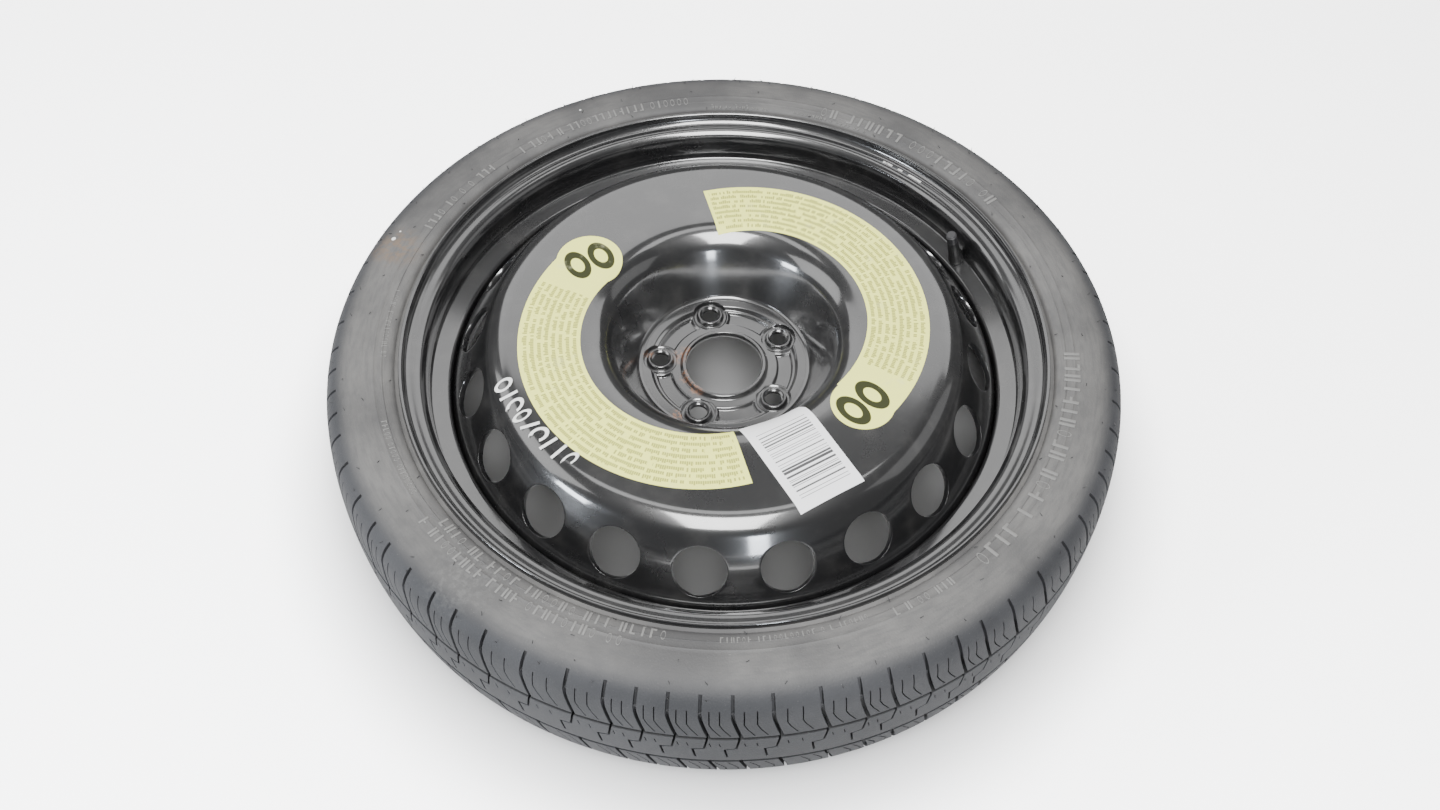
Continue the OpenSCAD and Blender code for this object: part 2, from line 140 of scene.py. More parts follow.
def drawPath(name, path):
    # a single point drawn along the path in the plane of radius and height
    deselectAll()
    bpy.ops.mesh.primitive_plane_add(size=0.001, location=(0, 0, 0))
    piece = bpy.context.object
    piece.name = name
    piece.data.name = name
    bpy.ops.object.mode_set(mode="EDIT")
    bpy.ops.mesh.select_mode(type="VERT")
    bpy.ops.mesh.select_all(action="SELECT")
    bpy.ops.mesh.merge(type="CENTER")
    bpy.ops.transform.translate(value=(path[0][0] * mm, 0, path[0][1] * mm))
    for a, b in zip(path, path[1:]):
        bpy.ops.mesh.extrude_region_move(
            TRANSFORM_OT_translate={"value": ((b[0] - a[0]) * mm, 0, (b[1] - a[1]) * mm)})
    return piece


def merged(gap):
    # in edit mode, what lies closer than the gap becomes one
    bpy.ops.mesh.select_all(action="SELECT")
    bpy.ops.mesh.remove_doubles(threshold=gap)


def facedOut():
    # in edit mode, all faces look outwards, and the edit ends
    bpy.ops.mesh.select_all(action="SELECT")
    bpy.ops.mesh.normals_make_consistent(inside=False)
    bpy.ops.object.mode_set(mode="OBJECT")


def editAll():
    bpy.ops.object.mode_set(mode="EDIT")
    bpy.ops.mesh.select_all(action="SELECT")


def dropFaces(piece, test):
    selectWhere(piece, test, "FACE")
    bpy.ops.mesh.delete(type="FACE")
    bpy.ops.object.mode_set(mode="OBJECT")


def turned(name, path, steps, closed=True):
    # a path turned round the axle
    if closed:
        path = path + [path[0]]
    piece = drawPath(name, path)
    bpy.ops.mesh.select_all(action="SELECT")
    bpy.ops.mesh.spin(steps=steps, angle=2 * math.pi, center=(0, 0, 0), axis=(0, 0, 1))
    merged(0.000005)
    facedOut()
    return piece


def applied(piece, kind, **settings):
    # a modifier with its settings, applied at once
    pick(piece)
    modifier = piece.modifiers.new(kind.lower(), kind)
    for key, value in settings.items():
        setattr(modifier, key, value)
    bpy.ops.object.modifier_apply(modifier=modifier.name)


def smooth(piece, deg):
    pick(piece)
    bpy.ops.object.shade_smooth_by_angle(angle=math.radians(deg))


def joinAll(pieces, name):
    deselectAll()
    for piece in pieces:
        piece.select_set(True)
    bpy.context.view_layer.objects.active = pieces[0]
    if len(pieces) > 1:
        bpy.ops.object.join()
    piece = bpy.context.object
    piece.name = name
    piece.data.name = name
    return piece


def roundEdges(piece, width, deg):
    applied(piece, "BEVEL", width=width * mm, segments=2, limit_method="ANGLE", angle_limit=math.radians(deg))


def turnZ(angle):
    return Matrix.Rotation(angle, 4, "Z")


def moveBy(x, y, z):
    # a shift in millimetres
    return Matrix.Translation((x * mm, y * mm, z * mm))


def copyOf(source, place):
    # a copy with its own mesh, moved by the given matrix
    copy = source.copy()
    copy.data = source.data.copy()
    copy.data.transform(place)
    bpy.context.scene.collection.objects.link(copy)
    return copy


def copiesAt(piece, turns, name):
    # copies of a piece at the given turns round the axle
    copies = [copyOf(piece, turnZ(math.radians(turn))) for turn in turns]
    bpy.data.objects.remove(piece)
    return joinAll(copies, name)


def painted(piece, material):
    piece.data.materials.clear()
    piece.data.materials.append(material)


def finished(piece, material, node):
    painted(piece, material)
    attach(piece, "root")
    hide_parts(node)


# node helpers

class Nodes:
    # short ways to add and join shader nodes in one tree
    def __init__(self, tree):
        self.tree = tree

    def add(self, kind, **values):
        node = self.tree.nodes.new(kind)
        for key, value in values.items():
            setattr(node, key, value)
        return node

    def join(self, output, socket):
        self.tree.links.new(output, socket)

    def put(self, value, socket):
        if isinstance(value, bpy.types.NodeSocket):
            self.join(value, socket)
        else:
            socket.default_value = value

    def math(self, operation, a, b=0.0, clamp=False):
        node = self.add("ShaderNodeMath", operation=operation, use_clamp=clamp)
        self.put(a, node.inputs[0])
        self.put(b, node.inputs[1])
        return node.outputs[0]

    def times(self, a, b):
        return self.math("MULTIPLY", a, b)

    def plus(self, a, b):
        return self.math("ADD", a, b)

    def minus(self, a, b):
        return self.math("SUBTRACT", a, b)

    def over(self, a, b):
        return self.math("DIVIDE", a, b)

    def isAbove(self, a, b):
        return self.math("GREATER_THAN", a, b)

    def isBelow(self, a, b):
        return self.math("LESS_THAN", a, b)

    def most(self, values):
        # the highest of several values
        top = values[0]
        for value in values[1:]:
            top = self.math("MAXIMUM", top, value)
        return top

    def tinted(self, mask, share, color, tint):
        # a share of the tint laid over the colour where the mask is 1
        return self.mixColor(self.times(mask, share), color, (*tint, 1))

    def ramp(self, value, low, high):
        # 0 below low and 1 above high, smooth between
        node = self.add("ShaderNodeMapRange", interpolation_type="SMOOTHSTEP")
        self.put(value, node.inputs["Value"])
        self.put(low, node.inputs["From Min"])
        self.put(high, node.inputs["From Max"])
        return node.outputs["Result"]

    def between(self, value, low, high, soft):
        return self.times(self.ramp(value, low - soft, low + soft),
                          self.minus(1.0, self.ramp(value, high - soft, high + soft)))

    def mixColor(self, amount, a, b):
        node = self.add("ShaderNodeMix", data_type="RGBA")
        self.put(amount, node.inputs["Factor"])
        self.put(a, node.inputs["A"])
        self.put(b, node.inputs["B"])
        return node.outputs["Result"]

    def noise(self, vector, scale, detail, rough=0.5):
        node = self.add("ShaderNodeTexNoise")
        self.put(vector, node.inputs["Vector"])
        self.put(scale, node.inputs["Scale"])
        node.inputs["Detail"].default_value = detail
        node.inputs["Roughness"].default_value = rough
        return node.outputs["Fac"]

    def combined(self, x, y):
        node = self.add("ShaderNodeCombineXYZ")
        self.put(x, node.inputs[0])
        self.put(y, node.inputs[1])
        return node.outputs[0]

    def mapped(self, place, x, y, turn, scale=(1, 1, 1)):
        # the place as seen from a spot given in millimetres, turned and scaled
        node = self.add("ShaderNodeMapping", vector_type="TEXTURE")
        node.inputs["Location"].default_value = (x * mm, y * mm, 0)
        node.inputs["Rotation"].default_value = (0, 0, turn)
        node.inputs["Scale"].default_value = scale
        self.join(place, node.inputs["Vector"])
        return node.outputs[0]


def newMaterial(name, color, roughness, **settings):
    material = bpy.data.materials.new(name)
    material.use_nodes = True
    shader = material.node_tree.nodes["Principled BSDF"]
    shader.inputs["Base Color"].default_value = (*color, 1)
    shader.inputs["Roughness"].default_value = roughness
    for key, value in settings.items():
        shader.inputs[key].default_value = value
    material.diffuse_color = (*color, 1)
    nodes = Nodes(material.node_tree)
    place = nodes.add("ShaderNodeTexCoord").outputs["Object"]
    return material, shader, nodes, place


def newGroup(name, ins, outs):
    # ins are (name, kind, value where there is one), outs are (name, kind)
    tree = bpy.data.node_groups.new(name, "ShaderNodeTree")
    for label, kind, *value in ins:
        socket = tree.interface.new_socket(name=label, in_out="INPUT", socket_type="NodeSocket" + kind)
        if value:
            socket.default_value = value[0]
    for label, kind in outs:
        tree.interface.new_socket(name=label, in_out="OUTPUT", socket_type="NodeSocket" + kind)
    return Nodes(tree), tree.nodes.new("NodeGroupInput").outputs, tree.nodes.new("NodeGroupOutput").inputs


def grainGroup():
    # fine relief of a surface
    ins = [("Place", "Vector"), ("Scale", "Float", 500.0), ("Depth", "Float", 0.0001),
           ("Strength", "Float", 0.5)]
    nodes, given, out = newGroup("surfaceGrain", ins, [("Normal", "Vector")])
    relief = nodes.add("ShaderNodeBump")
    nodes.join(nodes.noise(given["Place"], given["Scale"], 3), relief.inputs["Height"])
    nodes.join(given["Strength"], relief.inputs["Strength"])
    nodes.join(given["Depth"], relief.inputs["Distance"])
    nodes.join(relief.outputs["Normal"], out["Normal"])


def patchGroup():
    # soft uneven patches
    ins = [("Place", "Vector"), ("Scale", "Float", 10.0), ("From", "Float", 0.4), ("To", "Float", 0.7)]
    nodes, given, out = newGroup("patches", ins, [("Mask", "Float")])
    noise = nodes.noise(given["Place"], given["Scale"], 5, 0.6)
    nodes.join(nodes.ramp(noise, given["From"], given["To"]), out["Mask"])


def spotGroup():
    # 1 inside a ball, 0 outside
    ins = [("Place", "Vector"), ("Centre", "Vector"), ("Radius", "Float", 0.002), ("Soft", "Float", 0.0005)]
    nodes, given, out = newGroup("roundSpot", ins, [("Mask", "Float")])
    gap = nodes.add("ShaderNodeVectorMath", operation="DISTANCE")
    nodes.join(given["Place"], gap.inputs[0])
    nodes.join(given["Centre"], gap.inputs[1])
    near = nodes.minus(given["Radius"], given["Soft"])
    far = nodes.plus(given["Radius"], given["Soft"])
    nodes.join(nodes.minus(1.0, nodes.ramp(gap.outputs["Value"], near, far)), out["Mask"])


def polarGroup():
    # distance from an upright axis, the angle round it and the height along it
    outs = [("Radius", "Float"), ("Angle", "Float"), ("Height", "Float")]
    nodes, given, out = newGroup("aroundAxle", [("Place", "Vector"), ("Centre", "Vector")], outs)
    moved = nodes.add("ShaderNodeVectorMath", operation="SUBTRACT")
    nodes.join(given["Place"], moved.inputs[0])
    nodes.join(given["Centre"], moved.inputs[1])
    parts = nodes.add("ShaderNodeSeparateXYZ")
    nodes.join(moved.outputs[0], parts.inputs[0])
    x, y = parts.outputs[0], parts.outputs[1]
    nodes.join(nodes.math("SQRT", nodes.plus(nodes.times(x, x), nodes.times(y, y))), out["Radius"])
    nodes.join(nodes.math("ARCTAN2", y, x), out["Angle"])
    nodes.join(parts.outputs[2], out["Height"])


grainGroup()
patchGroup()
spotGroup()
polarGroup()


def effect(nodes, name, place, **values):
    # one of the shared effects, with its inputs set by name
    node = nodes.add("ShaderNodeGroup", node_tree=bpy.data.node_groups[name])
    nodes.join(place, node.inputs["Place"])
    for key, value in values.items():
        nodes.put(value, node.inputs[key])
    return node.outputs


def grain(nodes, shader, place, scale, depth, strength):
    relief = effect(nodes, "surfaceGrain", place, Scale=float(scale), Depth=depth, Strength=strength)
    nodes.join(relief["Normal"], shader.inputs["Normal"])


def around(nodes, place, centre=(0, 0)):
    out = effect(nodes, "aroundAxle", place, Centre=(centre[0], centre[1], 0))
    return out["Radius"], out["Angle"], out["Height"]


def spot(nodes, place, centre, radius, soft):
    return effect(nodes, "roundSpot", place, Centre=centre, Radius=radius, Soft=soft)["Mask"]


def stained(nodes, place, mark, scale, low, high):
    # a mark broken up by patches
    return nodes.times(mark, patch(nodes, place, scale, low, high))


def patch(nodes, place, scale, low, high):
    return effect(nodes, "patches", place, Scale=float(scale), From=low, To=high)["Mask"]


def photoPoint(radius, turnDeg, height):
    # a place on the model from its distance to the axle and its direction in the photo
    a = math.radians(turnDeg) + photoTurn
    return (radius * math.cos(a) * mm, radius * math.sin(a) * mm, height * mm)


print("stage: helpers ready")

# camera

cameraLook = {"spot": (-3.2, -45.7, 9.5), "distance": 1092, "elevation": 54.35, "roll": 0.70, "lens": 32.025}


def addCamera():
    data = bpy.data.cameras.new("photoCamera")
    camera = bpy.data.objects.new("photoCamera", data)
    bpy.context.scene.collection.objects.link(camera)
    data.lens = cameraLook["lens"]
    data.sensor_width = 36
    data.clip_start = 0.01
    data.clip_end = 50
    up = math.radians(cameraLook["elevation"])
    x, y, z = cameraLook["spot"]
    away = cameraLook["distance"]
    place = Vector((x, y - away * math.cos(up), z + away * math.sin(up))) * mm
    turn = turnZ(photoTurn)
    lean = Matrix.Rotation(math.pi / 2 - up, 4, "X")
    camera.matrix_world = turn @ Matrix.Translation(place) @ lean @ turnZ(math.radians(cameraLook["roll"]))
    bpy.context.scene.camera = camera


addCamera()

# studio

studio = {
    "worldLevel": 0.16,
    "floorHeight": cadBox[0][2],
    # painted shadow: the floor's colour for the camera, darkest beneath the wheel and greyer beside it
    "floorPaintedShadeBeneath": 0.3,
    "floorPaintedShadeBeside": 0.85,
    "floorAway": 2.6,
    "floorTrue": 0.7,  # how pale the floor is for the light that it sends back
    "shadowEdges": (300, 330, 430),  # radii where the floor gets paler
    "lamps": [
        # name, degrees round from the photo's right, elevation, distance, width, height, radiance, colour
        ("keyAbove", 270, 66, 2.3, 0.90, 1.70, 20.0, (1, 1, 1)),
        ("overhead", 90, 76, 2.3, 1.6, 0.45, 3.2, (1, 1, 1)),
        ("northWall", 90, 42, 2.6, 4.2, 1.3, 2.1, (1, 1, 1)),
        ("leftWall", 178, 38, 2.4, 1.8, 1.3, 2.8, (1, 1, 1)),
        ("rightWall", 2, 36, 2.6, 1.8, 1.2, 0.6, (1, 1, 1)),
        ("windowLeft", 212, 15, 2.4, 0.55, 0.50, 30.0, (0.86, 0.92, 1)),
        ("windowRight", 283, 15, 2.4, 0.28, 0.40, 30.0, (0.86, 0.92, 1)),
    ],
}


def addStudio():
    scene = bpy.context.scene
    world = bpy.data.worlds.new("studio")
    world.use_nodes = True
    world.node_tree.nodes["Background"].inputs["Color"].default_value = (1, 1, 1, 1)
    world.node_tree.nodes["Background"].inputs["Strength"].default_value = studio["worldLevel"]
    scene.world = world
    for name, facing, elevation, distance, width, height, level, color in studio["lamps"]:
        data = bpy.data.lights.new(name, "AREA")
        data.shape = "RECTANGLE"
        data.size = width
        data.size_y = height
        data.energy = level * math.pi * width * height
        data.color = color
        lamp = bpy.data.objects.new(name, data)
        scene.collection.objects.link(lamp)
        a = math.radians(facing) + photoTurn
        e = math.radians(elevation)
        way = Vector((math.cos(a) * math.cos(e), math.sin(a) * math.cos(e), math.sin(e)))
        lamp.location = way * distance
        lamp.rotation_euler = way.to_track_quat("Z", "Y").to_euler()
    deselectAll()
    bpy.ops.mesh.primitive_plane_add(size=12, location=(0, 0, 0))
    floor = bpy.context.object
    floor.name = "floor"
    floor.data.transform(Matrix.Translation((0, 0, studio["floorHeight"])))
    # the paper looks white to the camera, with a painted shadow that makes it greyer beside the wheel
    # and darkest beneath it, and it lights the wheel as plain pale paper
    material = bpy.data.materials.new("floorPaperPaintedShadow")
    material.use_nodes = True
    nodes = Nodes(material.node_tree)
    radius = around(nodes, nodes.add("ShaderNodeTexCoord").outputs["Object"])[0]
    near, beside, away = [edge * mm for edge in studio["shadowEdges"]]
    # painted shadow: the seen level rises from beneath the wheel to beside it, then to white far away
    first = nodes.times(nodes.ramp(radius, near, beside), studio["floorPaintedShadeBeside"] - studio["floorPaintedShadeBeneath"])
    second = nodes.times(nodes.ramp(radius, beside, away), studio["floorAway"] - studio["floorPaintedShadeBeside"])
    level = nodes.plus(studio["floorPaintedShadeBeneath"], nodes.plus(first, second))
    rays = nodes.add("ShaderNodeLightPath").outputs
    seen = nodes.math("ADD", rays["Is Camera Ray"], rays["Is Transmission Ray"], True)
    value = nodes.plus(studio["floorTrue"], nodes.times(seen, nodes.minus(level, studio["floorTrue"])))
    shade = nodes.add("ShaderNodeCombineColor")
    for socket in shade.inputs:
        nodes.join(value, socket)
    paper = nodes.add("ShaderNodeBsdfDiffuse")
    nodes.join(shade.outputs[0], paper.inputs["Color"])
    nodes.join(paper.outputs[0], material.node_tree.nodes["Material Output"].inputs["Surface"])
    floor.data.materials.append(material)


addStudio()
print("stage: camera and studio ready")

# disc

disc = {
    "sheet": 4.5, "boreRadius": 33.3, "collarTop": 9.5, "bandHeight": 6.0, "shelfHeight": 9.0,
    "bowlFoot": 74.6, "bowlSlope": 62, "bowlEdge": 30, "flatHeight": 62.5, "shoulder": 25,
    "wallSlope": 54, "ventRing": 217.7, "ventHeight": 30, "ventDiameter": 43, "ventCount": 20,
    "wellRadius": 237, "boltCircle": 56, "boltCount": 5, "moatRadius": 14.2, "moatHeight": 5.2,
    "pocketIn": 46.2, "pocketOut": 60, "pocketDepth": 2.3, "panelTop": -25, "panelBottom": 22.6,
    "panelColumns": 24, "panelRows": 12, "footRadius": 71.2, "skirt": 19.1, "edge": 0.7,
}


def discCorners():
    d = disc
    tanWall = math.tan(math.radians(d["wallSlope"]))
    bowlTop = d["bowlFoot"] + (d["flatHeight"] - d["shelfHeight"]) / math.tan(math.radians(d["bowlSlope"]))
    wallTop = d["ventRing"] - (d["flatHeight"] - d["ventHeight"]) / tanWall
    face = d["wellRadius"] - 0.1
    corner = d["ventHeight"] - (face - d["ventRing"]) * tanWall
    return [(d["footRadius"], d["shelfHeight"], 0), (d["bowlFoot"], d["shelfHeight"], 4.5),
            (bowlTop, d["flatHeight"], d["bowlEdge"]), (wallTop, d["flatHeight"], d["shoulder"]),
            (face, corner, 28), (face, corner - d["skirt"], 0)]


def wallPoint(down):
    # a point of the outer wall, a distance down its slope from the height of the vents
    a = math.radians(disc["wallSlope"])
    return disc["ventRing"] + down * math.cos(a), disc["ventHeight"] - down * math.sin(a)


def ventPanel():
    # one panel of the outer wall with its hole, modelled flat and then rolled on the cone
    top, bottom = disc["panelTop"], disc["panelBottom"]
    columns, rows = disc["panelColumns"], disc["panelRows"]
    pitch = 2 * math.pi / disc["ventCount"]
    width = pitch * disc["ventRing"] * mm
    deselectAll()
    bpy.ops.mesh.primitive_grid_add(x_subdivisions=columns, y_subdivisions=rows, size=2, location=(0, 0, 0))
    panel = bpy.context.object
    panel.name = "ventPanel"
    for v in panel.data.vertices:
        v.co = (v.co.x * width / 2, (top + bottom) / 2 * mm + v.co.y * (bottom - top) / 2 * mm, 0)
    low, high = top * mm + 1e-5, bottom * mm - 1e-5
    selectWhere(panel, lambda v: abs(v.co.x) < width / 2 - 1e-5 and low < v.co.y < high)
    bpy.ops.mesh.delete(type="VERT")
    bpy.ops.mesh.select_all(action="SELECT")
    bpy.ops.mesh.delete(type="ONLY_FACE")
    bpy.ops.mesh.select_all(action="DESELECT")
    bpy.ops.mesh.primitive_circle_add(vertices=2 * (columns + rows), radius=disc["ventDiameter"] / 2 * mm)
    bpy.ops.mesh.select_all(action="SELECT")
    bpy.ops.mesh.select_mode(type="EDGE")
    bpy.ops.mesh.bridge_edge_loops(number_cuts=7, interpolation="LINEAR")
    bpy.ops.object.mode_set(mode="OBJECT")
    slope = math.radians(disc["wallSlope"])
    half = width / 2
    for v in panel.data.vertices:
        x, y = v.co.x / mm, v.co.y / mm
        down = y
        for again in range(3):
            r = disc["ventRing"] + down * math.cos(slope)
            flat = math.asin(x / r) if abs(x) < r else 0
            down = y + (r - r * math.cos(flat)) * math.cos(slope)
        edge = min(1, max(0, (math.hypot(x, y) - disc["ventDiameter"] / 2) / 3))
        onEdge = abs(v.co.x) > half - 1e-6 or y < top + 0.001 or y > bottom - 0.001
        edge = 1 if onEdge else edge * edge
        turn = flat * (1 - edge) + (v.co.x / half) * pitch / 2 * edge
        down = down * (1 - edge) + y * edge
        r, z = wallPoint(down)
        v.co = (r * math.cos(turn) * mm, r * math.sin(turn) * mm, z * mm)
    return panel


def boltTurns():
    return [90 + 360 / disc["boltCount"] * i for i in range(disc["boltCount"])]


def boltGap(x, y):
    # distance to the nearest bolt, in millimetres
    circle = disc["boltCircle"]
    turns = [math.radians(t) for t in boltTurns()]
    return min(math.hypot(x - circle * math.cos(t), y - circle * math.sin(t)) for t in turns)


def eased(share):
    share = min(1, max(0, share))
    return share * share * (3 - 2 * share)


def makeShell():
    steps = disc["ventCount"] * disc["panelColumns"]
    path = roundedPath(discCorners(), 5)
    upper = wallPoint(disc["panelTop"])
    lower = wallPoint(disc["panelBottom"])
    first = [p for p in path if p[0] < upper[0] and p[1] > upper[1] or p[0] < 190]
    last = [p for p in path if p[0] > lower[0] and p[1] < lower[1]]
    inner = turned("discBowl", spaced(first + [upper], 9), steps, closed=False)
    outer = turned("discFlange", [lower] + last, steps, closed=False)
    vents = [i * 360 / disc["ventCount"] + 90 for i in range(disc["ventCount"])]
    band = copiesAt(ventPanel(), vents, "discWall")
    shell = joinAll([inner, outer, band], "discShell")
    bpy.ops.object.mode_set(mode="EDIT")
    merged(0.00006)
    facedOut()
    up = sum(p.normal.z * p.area for p in shell.data.polygons)
    if up < 0:
        bpy.ops.object.mode_set(mode="EDIT")
        bpy.ops.mesh.flip_normals()
        bpy.ops.object.mode_set(mode="OBJECT")
    applied(shell, "SOLIDIFY", thickness=disc["sheet"] * mm, offset=-1, use_even_offset=True)
    roundEdges(shell, disc["edge"], 50)
    smooth(shell, 50)
    return shell


def hubCorners():
    d = disc
    bore = d["boreRadius"]
    return [(bore, 8.6, 0), (bore + 0.5, d["collarTop"], 0.7), (bore + 2.9, d["collarTop"], 1.2),
            (bore + 4.9, d["bandHeight"], 1.6), (61.8, d["bandHeight"], 1.4), (64.4, d["shelfHeight"], 1.4),
            (d["footRadius"], d["shelfHeight"], 0)]


def pressDepth(x, y, baseHeight):
    # how far the press sank the face at a place: pockets between the bolts, and moats round them
    d = disc
    r = math.hypot(x, y)
    gap = boltGap(x, y)
    moat = eased(1 - min(1, max(0, (gap - d["moatRadius"] + 0.1) / 1.1)))
    inside = min(r - d["pocketIn"], d["pocketOut"] - r, gap - d["moatRadius"] - 2.2)
    pocket = eased((inside + 0.4) / 2.1)
    return max(pocket * d["pocketDepth"], moat * (baseHeight - d["moatHeight"]))


boltSeat = {"hole": 7.5, "ball": 13, "bossRadius": 10.5, "bossHeight": 9.5, "opening": 12.4}


def makeHub():
    d = disc
    face = spaced(roundedPath(hubCorners(), 12), 0.46)
    back = d["bandHeight"] - d["sheet"]
    rise = d["shelfHeight"] - d["sheet"]
    # the back has the mounting ring between radii of 41 and 60 mm
    under = [(d["footRadius"], rise), (66.5, rise), (64.0, 2.6), (61.0, back), (60.4, back), (60.0, back),
             (59.9, 0.3), (59.6, 0), (41.4, 0), (41.1, 0.3), (41, back), (40.6, back), (37.6, back),
             (35.3, 2.1), (33.9, 3.5), (d["boreRadius"], 5.2)]
    hub = turned("discHub", face + spaced(under, 3.2), 640)
    pressed = hub.vertex_groups.new(name="pressed")
    deepest = 4.0
    for v in hub.data.vertices:
        r = math.hypot(v.co.x, v.co.y) / mm
        height = v.co.z / mm
        if height >= 5.9 and 42 < r < 71.5:
            depth = pressDepth(v.co.x / mm, v.co.y / mm, height)
            if depth > 0.001:
                pressed.add([v.index], depth / deepest, "REPLACE")
    applied(hub, "DISPLACE", direction="Z", mid_level=0, strength=-deepest * mm, vertex_group="pressed")
    hub.vertex_groups.clear()
    # room for the bosses
    dropFaces(hub, lambda f: boltGap(f.center.x / mm, f.center.y / mm) < boltSeat["opening"])
    smooth(hub, 40)
    return hub


def makeBosses():
    # one bolt boss with its ball seat, turned round its own axis, then copied round the hub
    s = boltSeat
    seatTop = s["bossRadius"] - 1.3
    centre = s["bossHeight"] - 0.3 + math.sqrt(s["ball"] ** 2 - seatTop ** 2)
    ball = []
    for i in range(7):
        r = seatTop + (s["hole"] - seatTop) * i / 6
        ball.append((r, centre - math.sqrt(s["ball"] ** 2 - r * r)))
    outline = roundedPath([(13.5, 5.17, 0), (12.6, 5.24, 0.4), (11.9, 5.3, 0.8),
                           (s["bossRadius"] + 0.2, s["bossHeight"], 0.9),
                           (seatTop + 0.1, s["bossHeight"], 0.4), (ball[1][0], ball[1][1], 0)], 15)
    outline += ball[2:] + [(s["hole"], ball[-1][1] - 0.3), (s["hole"], 4.6)]
    outline += [(8.2, 3.9), (10.8, 1.9), (11.2, 1.46), (13.5, 1.46)]
    boss = turned("boss", outline, 72)
    boss.data.transform(moveBy(disc["boltCircle"], 0, 0))
    bosses = copiesAt(boss, boltTurns(), "boltBosses")
    smooth(bosses, 35)
    return bosses


# rim

rim = {
    "sheet": 2.8, "beadRadius": 256.4, "width": 114.3, "flangeHeight": 17.3, "curl": 9.5,
    "wellRadius": 237, "ledgeSlope": 14, "ledgeHeight": 29.5, "offset": 17.2, "edge": 0.8,
}


def offsetPath(path, t):
    # a path moved sideways, to its left where t is positive
    out = []
    for i, p in enumerate(path):
        a = Vector(path[max(i, 1)]) - Vector(path[max(i, 1) - 1])
        j = min(i, len(path) - 2)
        b = Vector(path[j + 1]) - Vector(path[j])
        a.normalize()
        b.normalize()
        side = Vector((-a.y - b.y, a.x + b.x)).normalized()
        reach = side.dot(Vector((-b.y, b.x)))
        out.append((p[0] + side.x * t / reach, p[1] + side.y * t / reach))
    return out


def flipped(path):
    return [(r, -z) for r, z in reversed(path)]


def beadPath():
    r = rim
    half = r["width"] / 2
    b = r["beadRadius"]
    hump = [(-1.2, 19), (-0.4, 20.6), (0.1, 22), (-0.1, 23.6), (-0.4, 25)]
    return (arcPoints(b + r["flangeHeight"] - r["curl"], half + r["curl"], r["curl"], 25, -90, 18)
            + arcPoints(b + 6.5, half - 6.5, 6.5, 90, 180, 9)
            + [(b + out, half - down) for out, down in hump])


def makeRim():
    r = rim
    t = r["sheet"]
    bead = beadPath()
    end = bead[-1]
    wellOut = r["wellRadius"] + t
    slope = math.tan(math.radians(r["ledgeSlope"]))
    low = r["ledgeHeight"] - t / math.cos(math.radians(r["ledgeSlope"])) + t * slope
    corners = [(end[0] - 0.1, end[1] - 0.6, 0), (end[0] - 0.2, low, t + 2),
               (wellOut, low - (end[0] - 0.2 - wellOut) * slope, 1.5), (wellOut, -10, 12),
               (end[0] - 0.3, 29 - r["width"] / 2, 14), (end[0] - 0.1, 0.6 - end[1], 0)]
    well = roundedPath(corners, 12)
    moved = offsetPath([c[:2] for c in corners], -t)
    # the far side's fillets are larger or smaller by the sheet, as the corner bends to or away from it
    ways = [0]
    for a, b, c in zip(corners, corners[1:], corners[2:]):
        ways.append(1 if (b[0] - a[0]) * (c[1] - b[1]) - (b[1] - a[1]) * (c[0] - b[0]) > 0 else -1)
    ways.append(0)
    far = []
    for (x, z), corner, way in zip(moved, corners, ways):
        far.append((x, z, max(0.5, corner[2] + t * way) if corner[2] > 0 else 0))
    wellFar = roundedPath(far, 9)
    beadFar = offsetPath(bead, -t)
    # once round the sheet, from lip to lip and back
    outline = bead + well + flipped(bead)
    outline += [(a, -b) for a, b in beadFar] + list(reversed(wellFar)) + list(reversed(beadFar))
    outline = [(a, b - r["offset"]) for a, b in outline]
    piece = turned("rimBody", outline, 440)
    roundEdges(piece, r["edge"], 60)
    smooth(piece, 40)
    return piece


# tyre

tyre = {
    "radius": 340, "halfWidth": 72, "treadHalf": 45, "drop": 3.4, "widest": 298.2,
    "grooveDepth": 7, "ringGroove": 22, "ringWidth": 4.4, "crossWidth": 2.8, "sipeWidth": 0.9,
    "pitches": [4, 5, 6, 6, 5, 4, 4, 4, 4, 5, 6, 5, 4, 5, 5], "runs": 5, "steps": 600,
    "shift": 2.4, "slope": 2.2,
}


def crown(z):
    return tyre["radius"] - tyre["drop"] * (abs(z) / tyre["treadHalf"]) ** tyre["slope"]


def bezier(p, n):
    out = []
    for i in range(1, n + 1):
        u = i / n
        w = 1 - u
        shares = (w ** 3, 3 * u * w * w, 3 * u * u * w, u ** 3)
        out.append(tuple(sum(share * point[k] for share, point in zip(shares, p)) for k in (0, 1)))
    return out


def treadProfile():
    t = tyre
    a = t["ringGroove"] - t["ringWidth"] / 2
    b = t["ringGroove"] + t["ringWidth"] / 2
    deep = t["grooveDepth"]
    half = [(crown(z), z) for z in (0, a / 3, a * 2 / 3, a)]
    half += [(crown(a) - deep, a + 0.4), (crown(b) - deep, b - 0.4)]
    end = t["treadHalf"]
    half += [(crown(b + (end - b) * i / 4), b + (end - b) * i / 4) for i in range(5)]
    edge = crown(end)
    half += bezier([(edge, end), (edge - 3, end + (t["halfWidth"] - end) * 0.75),
                    (edge - 14, t["halfWidth"] - 0.5), (t["widest"], t["halfWidth"])], 16)
    return half


def blockTurns():
    turns = []
    turn = 0
    for run in range(tyre["runs"]):
        for pitch in tyre["pitches"]:
            turns.append((turn, pitch))
            turn += pitch
    return turns


def outlined(name, outline):
    # a flat face inside an outline, left in edit mode and selected
    piece = drawPath(name, outline + [outline[0]])
    merged(0.000002)
    bpy.ops.mesh.edge_face_add()
    return piece


